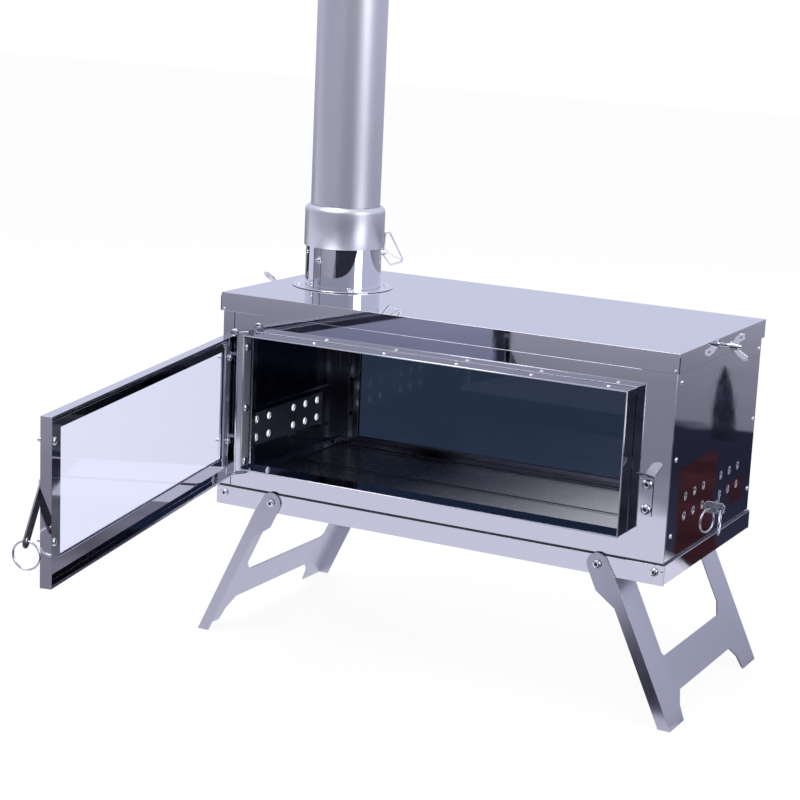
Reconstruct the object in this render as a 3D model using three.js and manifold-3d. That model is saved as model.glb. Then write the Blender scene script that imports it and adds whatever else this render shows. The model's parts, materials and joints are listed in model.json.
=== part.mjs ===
// Tent wood stove: a folded stainless steel firebox on two folding leg frames,
// with a swinging glass door, a glass back window, sliding side vents, a lid held
// by wing nuts, and a chimney stub with damper, adapter and first pipe section.
//
// Units are millimetres. +X is the stove's right, +Y its back, +Z up.
// The origin is the centre of the base tray's underside.
// The door stands open, as it is shown; its pieces are built as if it were shut.

import * as THREE from 'three';
import { mergeVertices } from 'three/addons/utils/BufferGeometryUtils.js';
import Module from 'manifold-3d';

const wasm = await Module();
wasm.setup();

// ---------------------------------------------------------------- driving sizes

const GAP = 0.3;              // between pieces that rest on or are cut round each other
const RUNNING_GAP = 0.25;     // between a shank and its hole, on the radius
const SHEET = 1;              // steel sheet of the box
const SMALL_RIVET = 2.6;      // head radius
const BIG_RIVET = 3;
const PAST = 1;               // a cutting tool runs this far past the faces it cuts

const LENGTH = 500;           // lid and base, left to right
const DEPTH = 250;            // lid and base, front to back
const BASE_HEIGHT = 19.4;
const FLOOR_SEAM = 1.6;       // dark joint between base and box
const BOX_HEIGHT = 200.7;     // box panels, bottom edge to top edge
const BOX_INSET = 2;          // box face behind the edge of lid and base
const LID_SKIRT = 19;
const LID_SLIT = 0.6;         // open fold at each corner of the skirt
const FOLD = 10;              // turned-in edges of the panels
const BASE_FOLD = 12;

const CORNER_RETURN = 13;     // side panel's strip round the front left corner
const CORNER_SEAM = 0.6;

const OPENING_HEIGHT = 140;
const OPENING_LEFT = 41.5;    // rim's left side from the lid's left edge
const OPENING_RIGHT = 41;     // rim's right side from the lid's right edge
const OPENING_LENGTH = LENGTH - OPENING_LEFT - OPENING_RIGHT; // outside of the door rim
const OPENING_BOTTOM = 46;    // rim's underside from the base's underside
const RIM_DEPTH = 24;         // rim stands this far in front of the box
const RIM_FLANGE = 8;
const RIM_RIVETS = 5;
const RIM_RIVET = 2.4;        // head radius
const RIM_RIVET_PITCH = 79.5;
const RIM_RIVET_SHIFT = 26;   // row's middle from the rim's middle

const REAR_WINDOW_SIDE = 31;   // steel beside, under and over the window, from the base's outline
const REAR_WINDOW_BOTTOM = 31;
const REAR_WINDOW_TOP = 31.7;  // below the box's top edge
const GLASS_LAP = 6;          // glass hidden behind its frame
const GLASS = 3.2;

const DOOR_OVER_RIM = 9;      // the door is this much longer than the rim
const DOOR_LENGTH = OPENING_LENGTH + DOOR_OVER_RIM;
const DOOR_HEIGHT = 146;
const DOOR_WALL = 10.3;       // depth of the tray-shaped door
const DOOR_REACH = 5;         // door's hinge side from the pivot
const DOOR_OPEN_ANGLE = 77.9; // as photographed
const DOOR_TOP_ABOVE_RIM = 1.5;
const DOOR_AXIS_FORWARD = 22; // pivot in front of the box face
const DOOR_AXIS_BEHIND_FACE = 4.3;
const WINDOW_SIDE_MARGIN = 26;
const WINDOW_TOP_MARGIN = 14;
const WINDOW_BOTTOM_MARGIN = 21;
const DOOR_BOLT_INSET = 13;
const DOOR_BOLT_TOP = 23;
const DOOR_BOLT_BOTTOM = 37;
const HINGE_ARM = 10.2;       // pivot to the leaf on the rim
const PIN_RADIUS = 2;
const LUG_RADIUS = 4;

const STRAP_WIDTH = 11;
const STRAP_THICKNESS = 1.5;
const STRAP_DROP = 42;        // pivot down to the ring hole
const STRAP_SWING = 30;       // pivot outwards to the ring hole
const STRAP_END = 1.5;        // ring hole to the middle of the round end
const STRAP_SCREW_END = 2.5;
const STRAP_PIVOT_INSET = 8;
const STRAP_PIVOT_DROP = 57;  // below the door's top edge
const RING_RADIUS = 12;       // to the middle of the wire
const RING_WIRE = 1;

const FLUE_INSET = 70.7;        // flue axis from the lid's left edge
const COLLAR_RADIUS = 40;
const COLLAR_BELOW_LID = 8;
const FLUE_SHEET = 0.9;
const FLANGE_RADIUS = 53.5;
const FLANGE_RIVETS = 4;
const FLANGE_RIVET_ANGLE = -50; // of the first, from +X
const CAP_RADIUS = 42.2;
const CAP_BOTTOM = 43.5;        // above the lid
const CAP_SHOULDER = 86.5;
const CAP_SHOULDER_RADIUS = 6;
const COLLAR_HEIGHT = CAP_SHOULDER - CAP_SHOULDER_RADIUS + GAP;
const NECK_HEIGHT = 28;
const PIPE_RADIUS = 36.5;
const PIPE_LENGTH = 300;
const DAMPER_HEIGHT = 36.5;
const DAMPER_ANGLE = 45;      // spindle direction from +X, towards the back
const DAMPER_DISC_RADIUS = 34.5;
const SPINDLE_RADIUS = 1.8;
const SEAM_ANGLE = -98;       // collar seam, at the front

const VENT_HOLES = 3;         // on each side of the middle, in each row
const VENT_PITCH = 25.4;
const VENT_ROW_PITCH = 19.6;
const VENT_TOP_ROW = 77.6;
const VENT_RADIUS = 4.2;
const VENT_TRAVEL = VENT_PITCH / 2;
const VENT_CENTRE_RIGHT = 0;
const VENT_CENTRE_LEFT = -7;
const TAB_FROM_CENTRE = 14;

const LEG_PIVOT_INSET = 67.5;
const LEG_PIVOT_HEIGHT = 10.6;
const LEG_SPLAY = 25.4;         // from upright
const LEG_FOOT_BELOW = 141.6; // under the base
const LEG_SHEET = 1.6;
const LEG_EAR = 11;
const LEG_WEB_CLEARANCE = 0.5; // web under the base when the leg is folded
const LEG_FLANGE = 11.5;      // width of the lower leg flange
const LEG_BAND = 42;          // web beside its window
const LEG_BAR_TOP = 110;      // along the leg from the pivot
const LEG_BAR_BOTTOM = 147;
const LEG_TOP_STRIP = 10;
const LEG_CHAMFER = 12;
const LEG_NECK_TOP = 24;      // flange narrows between these two
const LEG_NECK_BOTTOM = 46;
const LEG_SHOULDER = 4;
const LEG_BOLT_HEAD = 4.4;
const LEG_BOLT_REACH = 3;     // inside of the base wall

const WING_BELOW_LID = 9;
const WING_TURN = 31;         // degrees from level
const M4_HEAD = 4;
const SMALL_HEAD = 3.5;
const M4_SHANK = 2;
const M4_NUT = 3.9;

// ------------------------------------------------------------- worked-out places

const FRONT = -DEPTH / 2;
const BACK = DEPTH / 2;
const RIGHT = LENGTH / 2;
const BOX_FRONT = FRONT + BOX_INSET;
const BOX_BACK = BACK - BOX_INSET;
const BOX_RIGHT = RIGHT - BOX_INSET;
const BOX_BOTTOM = BASE_HEIGHT + FLOOR_SEAM;
const BOX_TOP = BOX_BOTTOM + BOX_HEIGHT;
const LID_TOP = BOX_TOP + GAP + SHEET;
const WING_HEIGHT = LID_TOP - WING_BELOW_LID;
const FLOOR_UNDERSIDE = BASE_HEIGHT + GAP;
const FLOOR_TOP = FLOOR_UNDERSIDE + SHEET;

const REAR_WINDOW_LENGTH = LENGTH - 2 * REAR_WINDOW_SIDE;
const REAR_WINDOW_HEIGHT = BOX_TOP - REAR_WINDOW_TOP - REAR_WINDOW_BOTTOM;

const RIM_LEFT = -RIGHT + OPENING_LEFT;
const RIM_RIGHT = RIM_LEFT + OPENING_LENGTH;
const RIM_BOTTOM = OPENING_BOTTOM;
const RIM_TOP = OPENING_BOTTOM + OPENING_HEIGHT;
const RIM_FRONT = BOX_FRONT - RIM_DEPTH;

const HINGE_X = RIM_LEFT - GAP - SHEET - HINGE_ARM;
const HINGE_Y = BOX_FRONT - DOOR_AXIS_FORWARD;
const DOOR_TOP = RIM_TOP + DOOR_TOP_ABOVE_RIM;
const DOOR_BOTTOM = DOOR_TOP - DOOR_HEIGHT;
const DOOR_FACE = -DOOR_AXIS_BEHIND_FACE;

const FLUE_X = -RIGHT + FLUE_INSET;
const COLLAR_INSIDE = COLLAR_RADIUS - SHEET;

// ----------------------------------------------------------------- solid helpers

const UP = new THREE.Vector3(0, 0, 1);
const BASES = {
  X: new THREE.Matrix4().makeBasis(
    new THREE.Vector3(0, 1, 0),
    new THREE.Vector3(0, 0, 1),
    new THREE.Vector3(1, 0, 0),
  ),
  Y: new THREE.Matrix4().makeBasis(
    new THREE.Vector3(1, 0, 0),
    new THREE.Vector3(0, 0, 1),
    new THREE.Vector3(0, -1, 0),
  ),
  Z: new THREE.Matrix4(),
};

// A closed geometry as a manifold-3d solid.
function solidOf(geometry) {
  const bare = geometry.index ? geometry.toNonIndexed() : geometry.clone();
  bare.deleteAttribute('normal');
  bare.deleteAttribute('uv');
  const merged = mergeVertices(bare, 1e-4);
  return new wasm.Manifold(new wasm.Mesh({
    numProp: 3,
    vertProperties: new Float32Array(merged.attributes.position.array),
    triVerts: new Uint32Array(merged.index.array),
  }));
}

function geometryOf(solid) {
  const mesh = solid.getMesh();
  const positions = new Float32Array(mesh.numVert * 3);
  for (let i = 0; i < mesh.numVert; i += 1) {
    const start = i * mesh.numProp;
    positions.set(mesh.vertProperties.subarray(start, start + 3), i * 3);
  }
  const geometry = new THREE.BufferGeometry();
  geometry.setAttribute('position', new THREE.BufferAttribute(positions, 3));
  geometry.setIndex(new THREE.BufferAttribute(new Uint32Array(mesh.triVerts), 1));
  geometry.computeVertexNormals();
  return geometry;
}

function join(...solids) {
  return solids.reduce((sum, next) => sum.add(next));
}

function cut(solid, ...tools) {
  return tools.reduce((rest, tool) => rest.subtract(tool), solid);
}

function box([x0, x1], [y0, y1], [z0, z1]) {
  const geometry = new THREE.BoxGeometry(x1 - x0, y1 - y0, z1 - z0);
  geometry.translate((x0 + x1) / 2, (y0 + y1) / 2, (z0 + z1) / 2);
  return solidOf(geometry);
}

// A shape drawn in the plane across axis, pushed along it from one place to another.
// The plane's coordinates are (y, z) for X, (x, z) for Y and (x, y) for Z.
function prism(shape, axis, from, to, curveSegments = 12) {
  const low = Math.min(from, to);
  const depth = Math.abs(to - from);
  const geometry = new THREE.ExtrudeGeometry(shape, { depth, bevelEnabled: false, curveSegments });
  geometry.translate(0, 0, axis === 'Y' ? -low - depth : low);
  geometry.applyMatrix4(BASES[axis]);
  return solidOf(geometry);
}

function polygon(points) {
  return new THREE.Shape(points.map(([u, v]) => new THREE.Vector2(u, v)));
}

function disc(u, v, radius, sides = 16) {
  const points = [];
  for (let i = 0; i < sides; i += 1) {
    const angle = ((i + 0.5) / sides) * 2 * Math.PI;
    points.push([u + radius * Math.cos(angle), v + radius * Math.sin(angle)]);
  }
  return polygon(points);
}

// A round bar or hole along an axis; place is its centre in the plane across the axis.
function rod(axis, [u, v], radius, from, to, sides = 16) {
  return prism(disc(u, v, radius, sides), axis, from, to);
}

// A turned solid round the Z axis from [radius, height] points that close on themselves.
function turned(points, sides) {
  const loop = [...points, points[0]].map(([r, z]) => new THREE.Vector2(r, z));
  const geometry = new THREE.LatheGeometry(loop, sides);
  geometry.rotateX(Math.PI / 2);
  const solid = solidOf(geometry);
  if (solid.volume() > 0) return solid;
  const flipped = new THREE.LatheGeometry(loop.reverse(), sides);
  flipped.rotateX(Math.PI / 2);
  return solidOf(flipped);
}

// A rectangular sheet frame across Y: outer size less a window.
function frameSheet(outer, inner, from, to) {
  return cut(
    box(outer.x, [from, to], outer.z),
    box(inner.x, [from - PAST, to + PAST], inner.z),
  );
}

// A range from near to far on one side of the middle.
function span(side, near, far) {
  return [side * near, side * far].sort((a, b) => a - b);
}

function grown({ x, z }, by) {
  return { x: [x[0] - by, x[1] + by], z: [z[0] - by, z[1] + by] };
}

// A domed rivet head that stands on a face; direction is the face's outward normal.
function rivet([x, y, z], direction, radius = SMALL_RIVET) {
  const sunk = SHEET / 2;
  const dome = new THREE.LatheGeometry([
    new THREE.Vector2(0, -sunk),
    new THREE.Vector2(radius, -sunk),
    new THREE.Vector2(radius * 0.75, radius * 0.4),
    new THREE.Vector2(0, radius * 0.55),
  ], 8);
  dome.applyQuaternion(new THREE.Quaternion().setFromUnitVectors(OUT_BACK, direction));
  dome.translate(x, y, z);
  return solidOf(dome);
}

const OUT_FRONT = new THREE.Vector3(0, -1, 0);
const OUT_BACK = new THREE.Vector3(0, 1, 0);
const OUT_LEFT = new THREE.Vector3(-1, 0, 0);
const OUT_RIGHT = new THREE.Vector3(1, 0, 0);
const OUT_TOP = UP;
const OUT_BOTTOM = new THREE.Vector3(0, 0, -1);

// ---------------------------------------------------------------------- materials

function steel(color, roughness) {
  return new THREE.MeshStandardMaterial({ color, roughness, metalness: 1 });
}

const MIRROR_STEEL = steel(0xb9b8c8, 0.08);
const SATIN_STEEL = steel(0xa3a2b0, 0.35);
const BRIGHT_STEEL = steel(0xd0d0da, 0.2);
const BLACK_STEEL = new THREE.MeshStandardMaterial({ color: 0x1c1d24, roughness: 0.5 });
const DOOR_GLASS = new THREE.MeshStandardMaterial({
  color: 0xd4daf5,
  roughness: 0.05,
  transparent: true,
  opacity: 0.3,
});
const REAR_GLASS = new THREE.MeshStandardMaterial({
  color: 0x2b3a4c,
  roughness: 0.05,
  transparent: true,
  opacity: 0.6,
});

const stove = new THREE.Group();

function addPiece(parent, name, solid, material) {
  const mesh = new THREE.Mesh(geometryOf(solid), material);
  mesh.name = name;
  parent.add(mesh);
  return mesh;
}

// ----------------------------------------------------------------------- fasteners

// Button head and shank; the head's seat is at z = 0 and the shank runs down.
function screwSolid(length, shank = M4_SHANK, head = M4_HEAD) {
  const thick = head * 0.55;
  const socket = head * 0.4;
  const body = turned([
    [0, -length],
    [shank, -length],
    [shank, 0],
    [head, 0],
    [head, thick * 0.45],
    [head * 0.65, thick],
    [0, thick],
  ], 8);
  return cut(body, rod('Z', [0, 0], socket, thick * 0.35, thick + PAST, 6));
}

// Hexagon nut that sits on z = 0, round a shank.
function nutSolid(height, shank = M4_SHANK, across = M4_NUT) {
  return cut(
    rod('Z', [0, 0], across, 0, height, 6),
    rod('Z', [0, 0], shank + RUNNING_GAP, -PAST, height + PAST, 10),
  );
}

function placed(mesh, [x, y, z], direction) {
  mesh.position.set(x, y, z);
  mesh.quaternion.setFromUnitVectors(UP, direction);
  return mesh;
}

function addScrew(parent, name, place, direction, length, shank, head) {
  return placed(addPiece(parent, name, screwSolid(length, shank, head), BRIGHT_STEEL), place, direction);
}

function addNut(parent, name, place, direction, height, shank, across) {
  return placed(addPiece(parent, name, nutSolid(height, shank, across), BRIGHT_STEEL), place, direction);
}

// ---------------------------------------------------------------------------- base

const BASE_SCREW_INSET = 10;
const BASE_SCREW_HEIGHT = 12.4;
const BASE_SCREW_LENGTH = 5;
const BASE_TAB = 16;
const FLOOR_RIVETS = 4;
const FLOOR_RIVET_PITCH = 88;
const FLOOR_RIVET_START = -124;
const FLOOR_RIVET_LINE = -33;

function baseScrewHoles() {
  const holes = [];
  for (const side of [-1, 1]) {
    const x = side * (RIGHT - BASE_SCREW_INSET);
    holes.push(rod('Y', [x, BASE_SCREW_HEIGHT], M4_SHANK + RUNNING_GAP, FRONT - PAST, BACK + PAST, 10));
  }
  return join(...holes);
}

function legBoltHoles() {
  const holes = [];
  for (const side of [-1, 1]) {
    const x = side * (RIGHT - LEG_PIVOT_INSET);
    holes.push(rod('Y', [x, LEG_PIVOT_HEIGHT], M4_SHANK + RUNNING_GAP, FRONT - PAST, BACK + PAST, 10));
  }
  return join(...holes);
}

function addBase() {
  const wide = [-RIGHT, RIGHT];
  const tray = join(
    box(wide, [FRONT, BACK], [0, SHEET]),
    box(wide, [FRONT, FRONT + SHEET], [0, BASE_HEIGHT]),
    box(wide, [BACK - SHEET, BACK], [0, BASE_HEIGHT]),
    box(wide, [FRONT, FRONT + BASE_FOLD], [BASE_HEIGHT - SHEET, BASE_HEIGHT]),
    box(wide, [BACK - BASE_FOLD, BACK], [BASE_HEIGHT - SHEET, BASE_HEIGHT]),
  );
  const endRoom = FRONT + SHEET + GAP;
  const endCuts = [-1, 1].map((side) => {
    const x = span(side, RIGHT - SHEET - GAP, RIGHT + PAST);
    return box(x, [endRoom, -endRoom], [-PAST, BASE_HEIGHT + PAST]);
  });
  const foldCuts = [-1, 1].map((side) => {
    const x = span(side, RIGHT - BASE_TAB - 2 * GAP, RIGHT + PAST);
    return box(x, [endRoom, -endRoom], [SHEET + GAP, BASE_HEIGHT + PAST]);
  });
  addPiece(
    stove,
    'base_tray',
    cut(tray, ...endCuts, ...foldCuts, baseScrewHoles(), legBoltHoles()),
    MIRROR_STEEL,
  );

  for (const [label, side] of [['left', -1], ['right', 1]]) {
      const yFront = FRONT + SHEET + GAP;
    const wall = box(span(side, RIGHT - SHEET, RIGHT), [yFront, -yFront], [SHEET + GAP, BASE_HEIGHT]);
    const fold = box(
      span(side, RIGHT - BASE_FOLD, RIGHT),
      [yFront, -yFront],
      [BASE_HEIGHT - SHEET, BASE_HEIGHT],
    );
    const tabs = [-1, 1].map((end) => {
      const y = span(end, -yFront, -yFront - SHEET);
      return box(span(side, RIGHT - BASE_TAB, RIGHT), y, [SHEET + GAP, BASE_HEIGHT]);
    });
    addPiece(stove, `base_end_${label}`, cut(join(wall, fold, ...tabs), baseScrewHoles()), MIRROR_STEEL);
    for (const [face, direction, y] of [
      ['front', OUT_FRONT, FRONT - GAP],
      ['back', OUT_BACK, BACK + GAP],
    ]) {
      const place = [side * (RIGHT - BASE_SCREW_INSET), y, BASE_SCREW_HEIGHT];
      addScrew(stove, `base_screw_${face}_${label}`, place, direction, BASE_SCREW_LENGTH);
    }
  }

  const floorRivets = [];
  for (let i = 0; i < FLOOR_RIVETS; i += 1) {
    const x = FLOOR_RIVET_START + i * FLOOR_RIVET_PITCH;
    floorRivets.push(rivet([x, FLOOR_RIVET_LINE, FLOOR_TOP], OUT_TOP, BIG_RIVET));
  }
  const floorHalf = BOX_RIGHT - SHEET - 2 * GAP;
  const floorDepth = BOX_BACK - SHEET - 2 * GAP;
  const plate = box([-floorHalf, floorHalf], [-floorDepth, floorDepth], [FLOOR_UNDERSIDE, FLOOR_TOP]);
  addPiece(stove, 'floor_plate', join(plate, ...floorRivets), MIRROR_STEEL);
}

// ----------------------------------------------------------------------------- box

const SIDE_RIVET_INSET = 14;
const SIDE_RIVET_HEIGHTS = [45, 119.5, 193.5];
const BOTTOM_FOLD = [FLOOR_TOP + GAP, FLOOR_TOP + GAP + SHEET];
const TOP_FOLD = [BOX_TOP - SHEET, BOX_TOP];
const RIM_HOLE = grown({ x: [RIM_LEFT, RIM_RIGHT], z: [RIM_BOTTOM, RIM_TOP] }, GAP);
const KEEPER_SCREW_INSET = 23; // from the lid's right edge
const KEEPER_SCREW_X = RIGHT - KEEPER_SCREW_INSET;
const KEEPER_SCREWS = [71.4, 95.7];
const INNER_LAYER = SHEET + GAP; // a folded edge lies this far behind the outer face

function addFrontPanel() {
  const left = -BOX_RIGHT + CORNER_RETURN + CORNER_SEAM;
  const right = BOX_RIGHT - GAP;
  const high = [BOX_BOTTOM, BOX_TOP];
  const inner = BOX_FRONT + INNER_LAYER;
  const clearOfSide = -BOX_RIGHT + SHEET + GAP;
  const clearOfFold = BOX_RIGHT - SHEET - CORNER_RETURN - GAP;
  const sheet = join(
    box([left, right], [BOX_FRONT, BOX_FRONT + SHEET], high),
    box([left, left + SHEET], [BOX_FRONT, inner + SHEET], high),
    box([clearOfSide, left + SHEET], [inner, inner + SHEET], high),
    box([left, clearOfFold], [BOX_FRONT, BOX_FRONT + FOLD], BOTTOM_FOLD),
    box([left, clearOfFold], [BOX_FRONT, BOX_FRONT + FOLD], TOP_FOLD),
  );
  const opening = box(RIM_HOLE.x, [BOX_FRONT - PAST, BOX_FRONT + FOLD], RIM_HOLE.z);
  const screwHoles = KEEPER_SCREWS.map((z) => (
    rod('Y', [KEEPER_SCREW_X, z], M4_SHANK + RUNNING_GAP, BOX_FRONT - PAST, BOX_FRONT + FOLD, 10)
  ));
  addPiece(stove, 'front_panel', cut(sheet, opening, ...screwHoles), MIRROR_STEEL);
}

function addOpeningRim() {
  const outer = { x: [RIM_LEFT, RIM_RIGHT], z: [RIM_BOTTOM, RIM_TOP] };
  const inner = grown(outer, -SHEET);
  const flangeY = BOX_FRONT + INNER_LAYER;
  const sleeve = frameSheet(outer, inner, RIM_FRONT, flangeY + SHEET);
  const flange = frameSheet(grown(outer, RIM_FLANGE), inner, flangeY, flangeY + SHEET);
  const rivets = [];
  for (let i = 0; i < RIM_RIVETS; i += 1) {
    const x = (RIM_LEFT + RIM_RIGHT) / 2 + (i - (RIM_RIVETS - 1) / 2) * RIM_RIVET_PITCH + RIM_RIVET_SHIFT;
    rivets.push(rivet([x, BOX_FRONT - RIM_DEPTH / 2, RIM_TOP], OUT_TOP, RIM_RIVET));
  }
  addPiece(stove, 'opening_rim', join(sleeve, flange, ...rivets), MIRROR_STEEL);
}

// Vent holes of one side, as bars along X; shift moves the pattern along Y.
function ventHoles(centre, from, to) {
  const holes = [];
  for (let row = 0; row < 2; row += 1) {
    for (let i = -VENT_HOLES; i <= VENT_HOLES; i += 1) {
      if (i !== 0) {
        const place = [centre + i * VENT_PITCH, VENT_TOP_ROW - row * VENT_ROW_PITCH];
        holes.push(rod('X', place, VENT_RADIUS, from, to, 8));
      }
    }
  }
  return join(...holes);
}

const SLIDE_MARGIN = 12;
const SLIDE_HALF = VENT_HOLES * VENT_PITCH + SLIDE_MARGIN;
const SLIDE_TOP = VENT_TOP_ROW + SLIDE_MARGIN;
const SLIDE_BOTTOM = VENT_TOP_ROW - VENT_ROW_PITCH - SLIDE_MARGIN;
const RAIL_LIP = 4;
const TAB_NECK = [SLIDE_BOTTOM + 1, SLIDE_BOTTOM + 6];
const TAB_LOW = SLIDE_BOTTOM - 6;
const TAB_REACH = 11;         // outside of the side panel
const TAB_HOLE = 2.4;
const RING_SAG = TAB_HOLE - RING_WIRE - 2 * GAP; // ring's wire below the middle of its hole
const TAB_HOLE_HEIGHT = SLIDE_BOTTOM - 1.5;
const TAB_ROOM = 0.8;         // round the tab in its slot
const TAB_CORNER = 3;
const TAB_RING_INSET = 2;     // steel outside of the ring's hole
const VENT_RING_TURN = 75;    // degrees from the tab's plane

// Two strips that hold the vent slide against the side panel's inner face.
function ventRails(side, centre) {
  const face = BOX_RIGHT - SHEET;
  const lipFace = face - 2 * GAP - SHEET;
  const x = span(side, face, lipFace - SHEET);
  const lipX = span(side, lipFace, lipFace - SHEET);
  const half = SLIDE_HALF + VENT_TRAVEL / 2;
  const y = [centre + VENT_TRAVEL / 2 - half, centre + VENT_TRAVEL / 2 + half];
  const topWeb = [SLIDE_TOP + GAP, SLIDE_TOP + GAP + SHEET];
  const bottomWeb = [SLIDE_BOTTOM - GAP - SHEET, SLIDE_BOTTOM - GAP];
  return join(
    box(x, y, topWeb),
    box(lipX, y, [SLIDE_TOP - RAIL_LIP, topWeb[1]]),
    box(x, y, bottomWeb),
    box(lipX, y, [bottomWeb[0], SLIDE_BOTTOM + RAIL_LIP]),
  );
}

function addSidePanel(label, side, centre) {
  const high = [BOX_BOTTOM, BOX_TOP];
  const wallX = span(side, BOX_RIGHT - SHEET, BOX_RIGHT);
  const foldX = span(side, BOX_RIGHT - CORNER_RETURN, BOX_RIGHT);
  const frontY = side < 0 ? BOX_FRONT : BOX_FRONT + INNER_LAYER;
  const backY = BOX_BACK - INNER_LAYER;
  const shelfX = span(side, BOX_RIGHT - FOLD, BOX_RIGHT);
  const shelfY = [BOX_FRONT + 2 * INNER_LAYER, BOX_BACK - 2 * INNER_LAYER];
  const nearRim = side < 0 ? BOX_FRONT + 2 * INNER_LAYER + GAP : shelfY[0];
  const panel = join(
    box(wallX, [frontY, backY], high),
    box(foldX, [frontY, frontY + SHEET], high),
    box(foldX, [backY - SHEET, backY], high),
    box(shelfX, [nearRim + FOLD, shelfY[1] - FOLD], BOTTOM_FOLD),
    box(shelfX, [nearRim + FOLD, shelfY[1] - FOLD], TOP_FOLD),
    ventRails(side, centre),
  );
  const rivets = [];
  for (const z of SIDE_RIVET_HEIGHTS) {
    for (const y of [BOX_FRONT + SIDE_RIVET_INSET, BOX_BACK - SIDE_RIVET_INSET / 2]) {
      rivets.push(rivet([side * BOX_RIGHT, y, z], side < 0 ? OUT_LEFT : OUT_RIGHT));
    }
  }
  const through = span(side, BOX_RIGHT - 4 * SHEET, BOX_RIGHT + PAST);
  const tabCentre = centre + TAB_FROM_CENTRE;
  const slotY = [tabCentre - SHEET / 2 - TAB_ROOM, tabCentre + SHEET / 2 + VENT_TRAVEL + TAB_ROOM];
  const slot = box(through, slotY, [TAB_NECK[0] - TAB_ROOM / 2, TAB_NECK[1] + TAB_ROOM]);
  const wingHole = rod('X', [0, WING_HEIGHT], M4_SHANK + RUNNING_GAP, ...through, 10);
  addPiece(
    stove,
    `side_panel_${label}`,
    cut(join(panel, ...rivets), ventHoles(centre, ...through), slot, wingHole),
    MIRROR_STEEL,
  );
}

const BACK_RIVETS = 5;
const BACK_RIVET_RISE = 8;    // above the window
const REAR_FRAME_MARGIN = GLASS_LAP + GAP + SHEET;

function addBackPanel() {
  const half = BOX_RIGHT - GAP;
  const foldHalf = BOX_RIGHT - SHEET - CORNER_RETURN - GAP;
  const face = BOX_BACK - SHEET;
  const windowHalf = REAR_WINDOW_LENGTH / 2;
  const windowZ = [REAR_WINDOW_BOTTOM, REAR_WINDOW_BOTTOM + REAR_WINDOW_HEIGHT];
  const opening = { x: [-windowHalf, windowHalf], z: windowZ };
  const sheet = join(
    box([-half, half], [face, BOX_BACK], [BOX_BOTTOM, BOX_TOP]),
    box([-foldHalf, foldHalf], [BOX_BACK - FOLD, BOX_BACK], BOTTOM_FOLD),
    box([-foldHalf, foldHalf], [BOX_BACK - FOLD, BOX_BACK], TOP_FOLD),
  );
  const rivets = [];
  for (let i = 0; i < BACK_RIVETS; i += 1) {
    const x = (i - (BACK_RIVETS - 1) / 2) * (REAR_WINDOW_LENGTH / (BACK_RIVETS - 1));
    rivets.push(rivet([x, BOX_BACK, windowZ[1] + BACK_RIVET_RISE], OUT_BACK));
  }
  addPiece(
    stove,
    'back_panel',
    cut(join(sheet, ...rivets), box(opening.x, [face - FOLD, BOX_BACK + PAST], opening.z)),
    MIRROR_STEEL,
  );

  const glassBack = face - GAP;
  const glassFront = glassBack - GLASS;
  const pane = grown(opening, GLASS_LAP);
  addPiece(stove, 'rear_glass', box(pane.x, [glassFront, glassBack], pane.z), REAR_GLASS);
  const frameBack = glassFront - GAP;
  const retainer = frameSheet(grown(opening, REAR_FRAME_MARGIN), opening, frameBack - SHEET, frameBack);
  const lips = cut(
    box(
      grown(opening, REAR_FRAME_MARGIN).x,
      [frameBack - SHEET, face - GAP],
      grown(opening, REAR_FRAME_MARGIN).z,
    ),
    box(
      grown(opening, REAR_FRAME_MARGIN - SHEET).x,
      [frameBack - 2 * SHEET, face],
      grown(opening, REAR_FRAME_MARGIN - SHEET).z,
    ),
  );
  addPiece(stove, 'rear_glass_frame', join(retainer, lips), MIRROR_STEEL);
}

function addLid() {
  const skirt = [LID_TOP - LID_SKIRT, LID_TOP];
  const wide = [-RIGHT, RIGHT];
  const sideY = FRONT + SHEET + LID_SLIT;
  const lid = join(
    box(wide, [FRONT, BACK], [LID_TOP - SHEET, LID_TOP]),
    box(wide, [FRONT, FRONT + SHEET], skirt),
    box(wide, [BACK - SHEET, BACK], skirt),
    box([-RIGHT, -RIGHT + SHEET], [sideY, -sideY], skirt),
    box([RIGHT - SHEET, RIGHT], [sideY, -sideY], skirt),
  );
  const flueHole = rod('Z', [FLUE_X, 0], COLLAR_RADIUS + GAP, LID_TOP - SHEET - PAST, LID_TOP + PAST, 36);
  const wingHoles = [-1, 1].map((side) => {
    const x = [side * (RIGHT - SHEET - PAST), side * (RIGHT + PAST)];
    return rod('X', [0, WING_HEIGHT], M4_SHANK + RUNNING_GAP, ...x, 10);
  });
  addPiece(stove, 'lid', cut(lid, flueHole, ...wingHoles), MIRROR_STEEL);
}

const WING_BOLT_REACH = 17;   // outside of the lid skirt
const WING_NUT_SEAT = 6;
const WING_HUB_RADIUS = 4.6;
const WING_HUB_LENGTH = 8;
const WING_HUB_TAPER = 1;
const WING_SPAN = 17;         // from the nut's axis
const WING_RISE = 16;       // from the nut's seat
const WING_SHEET = 1.8;

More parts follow.
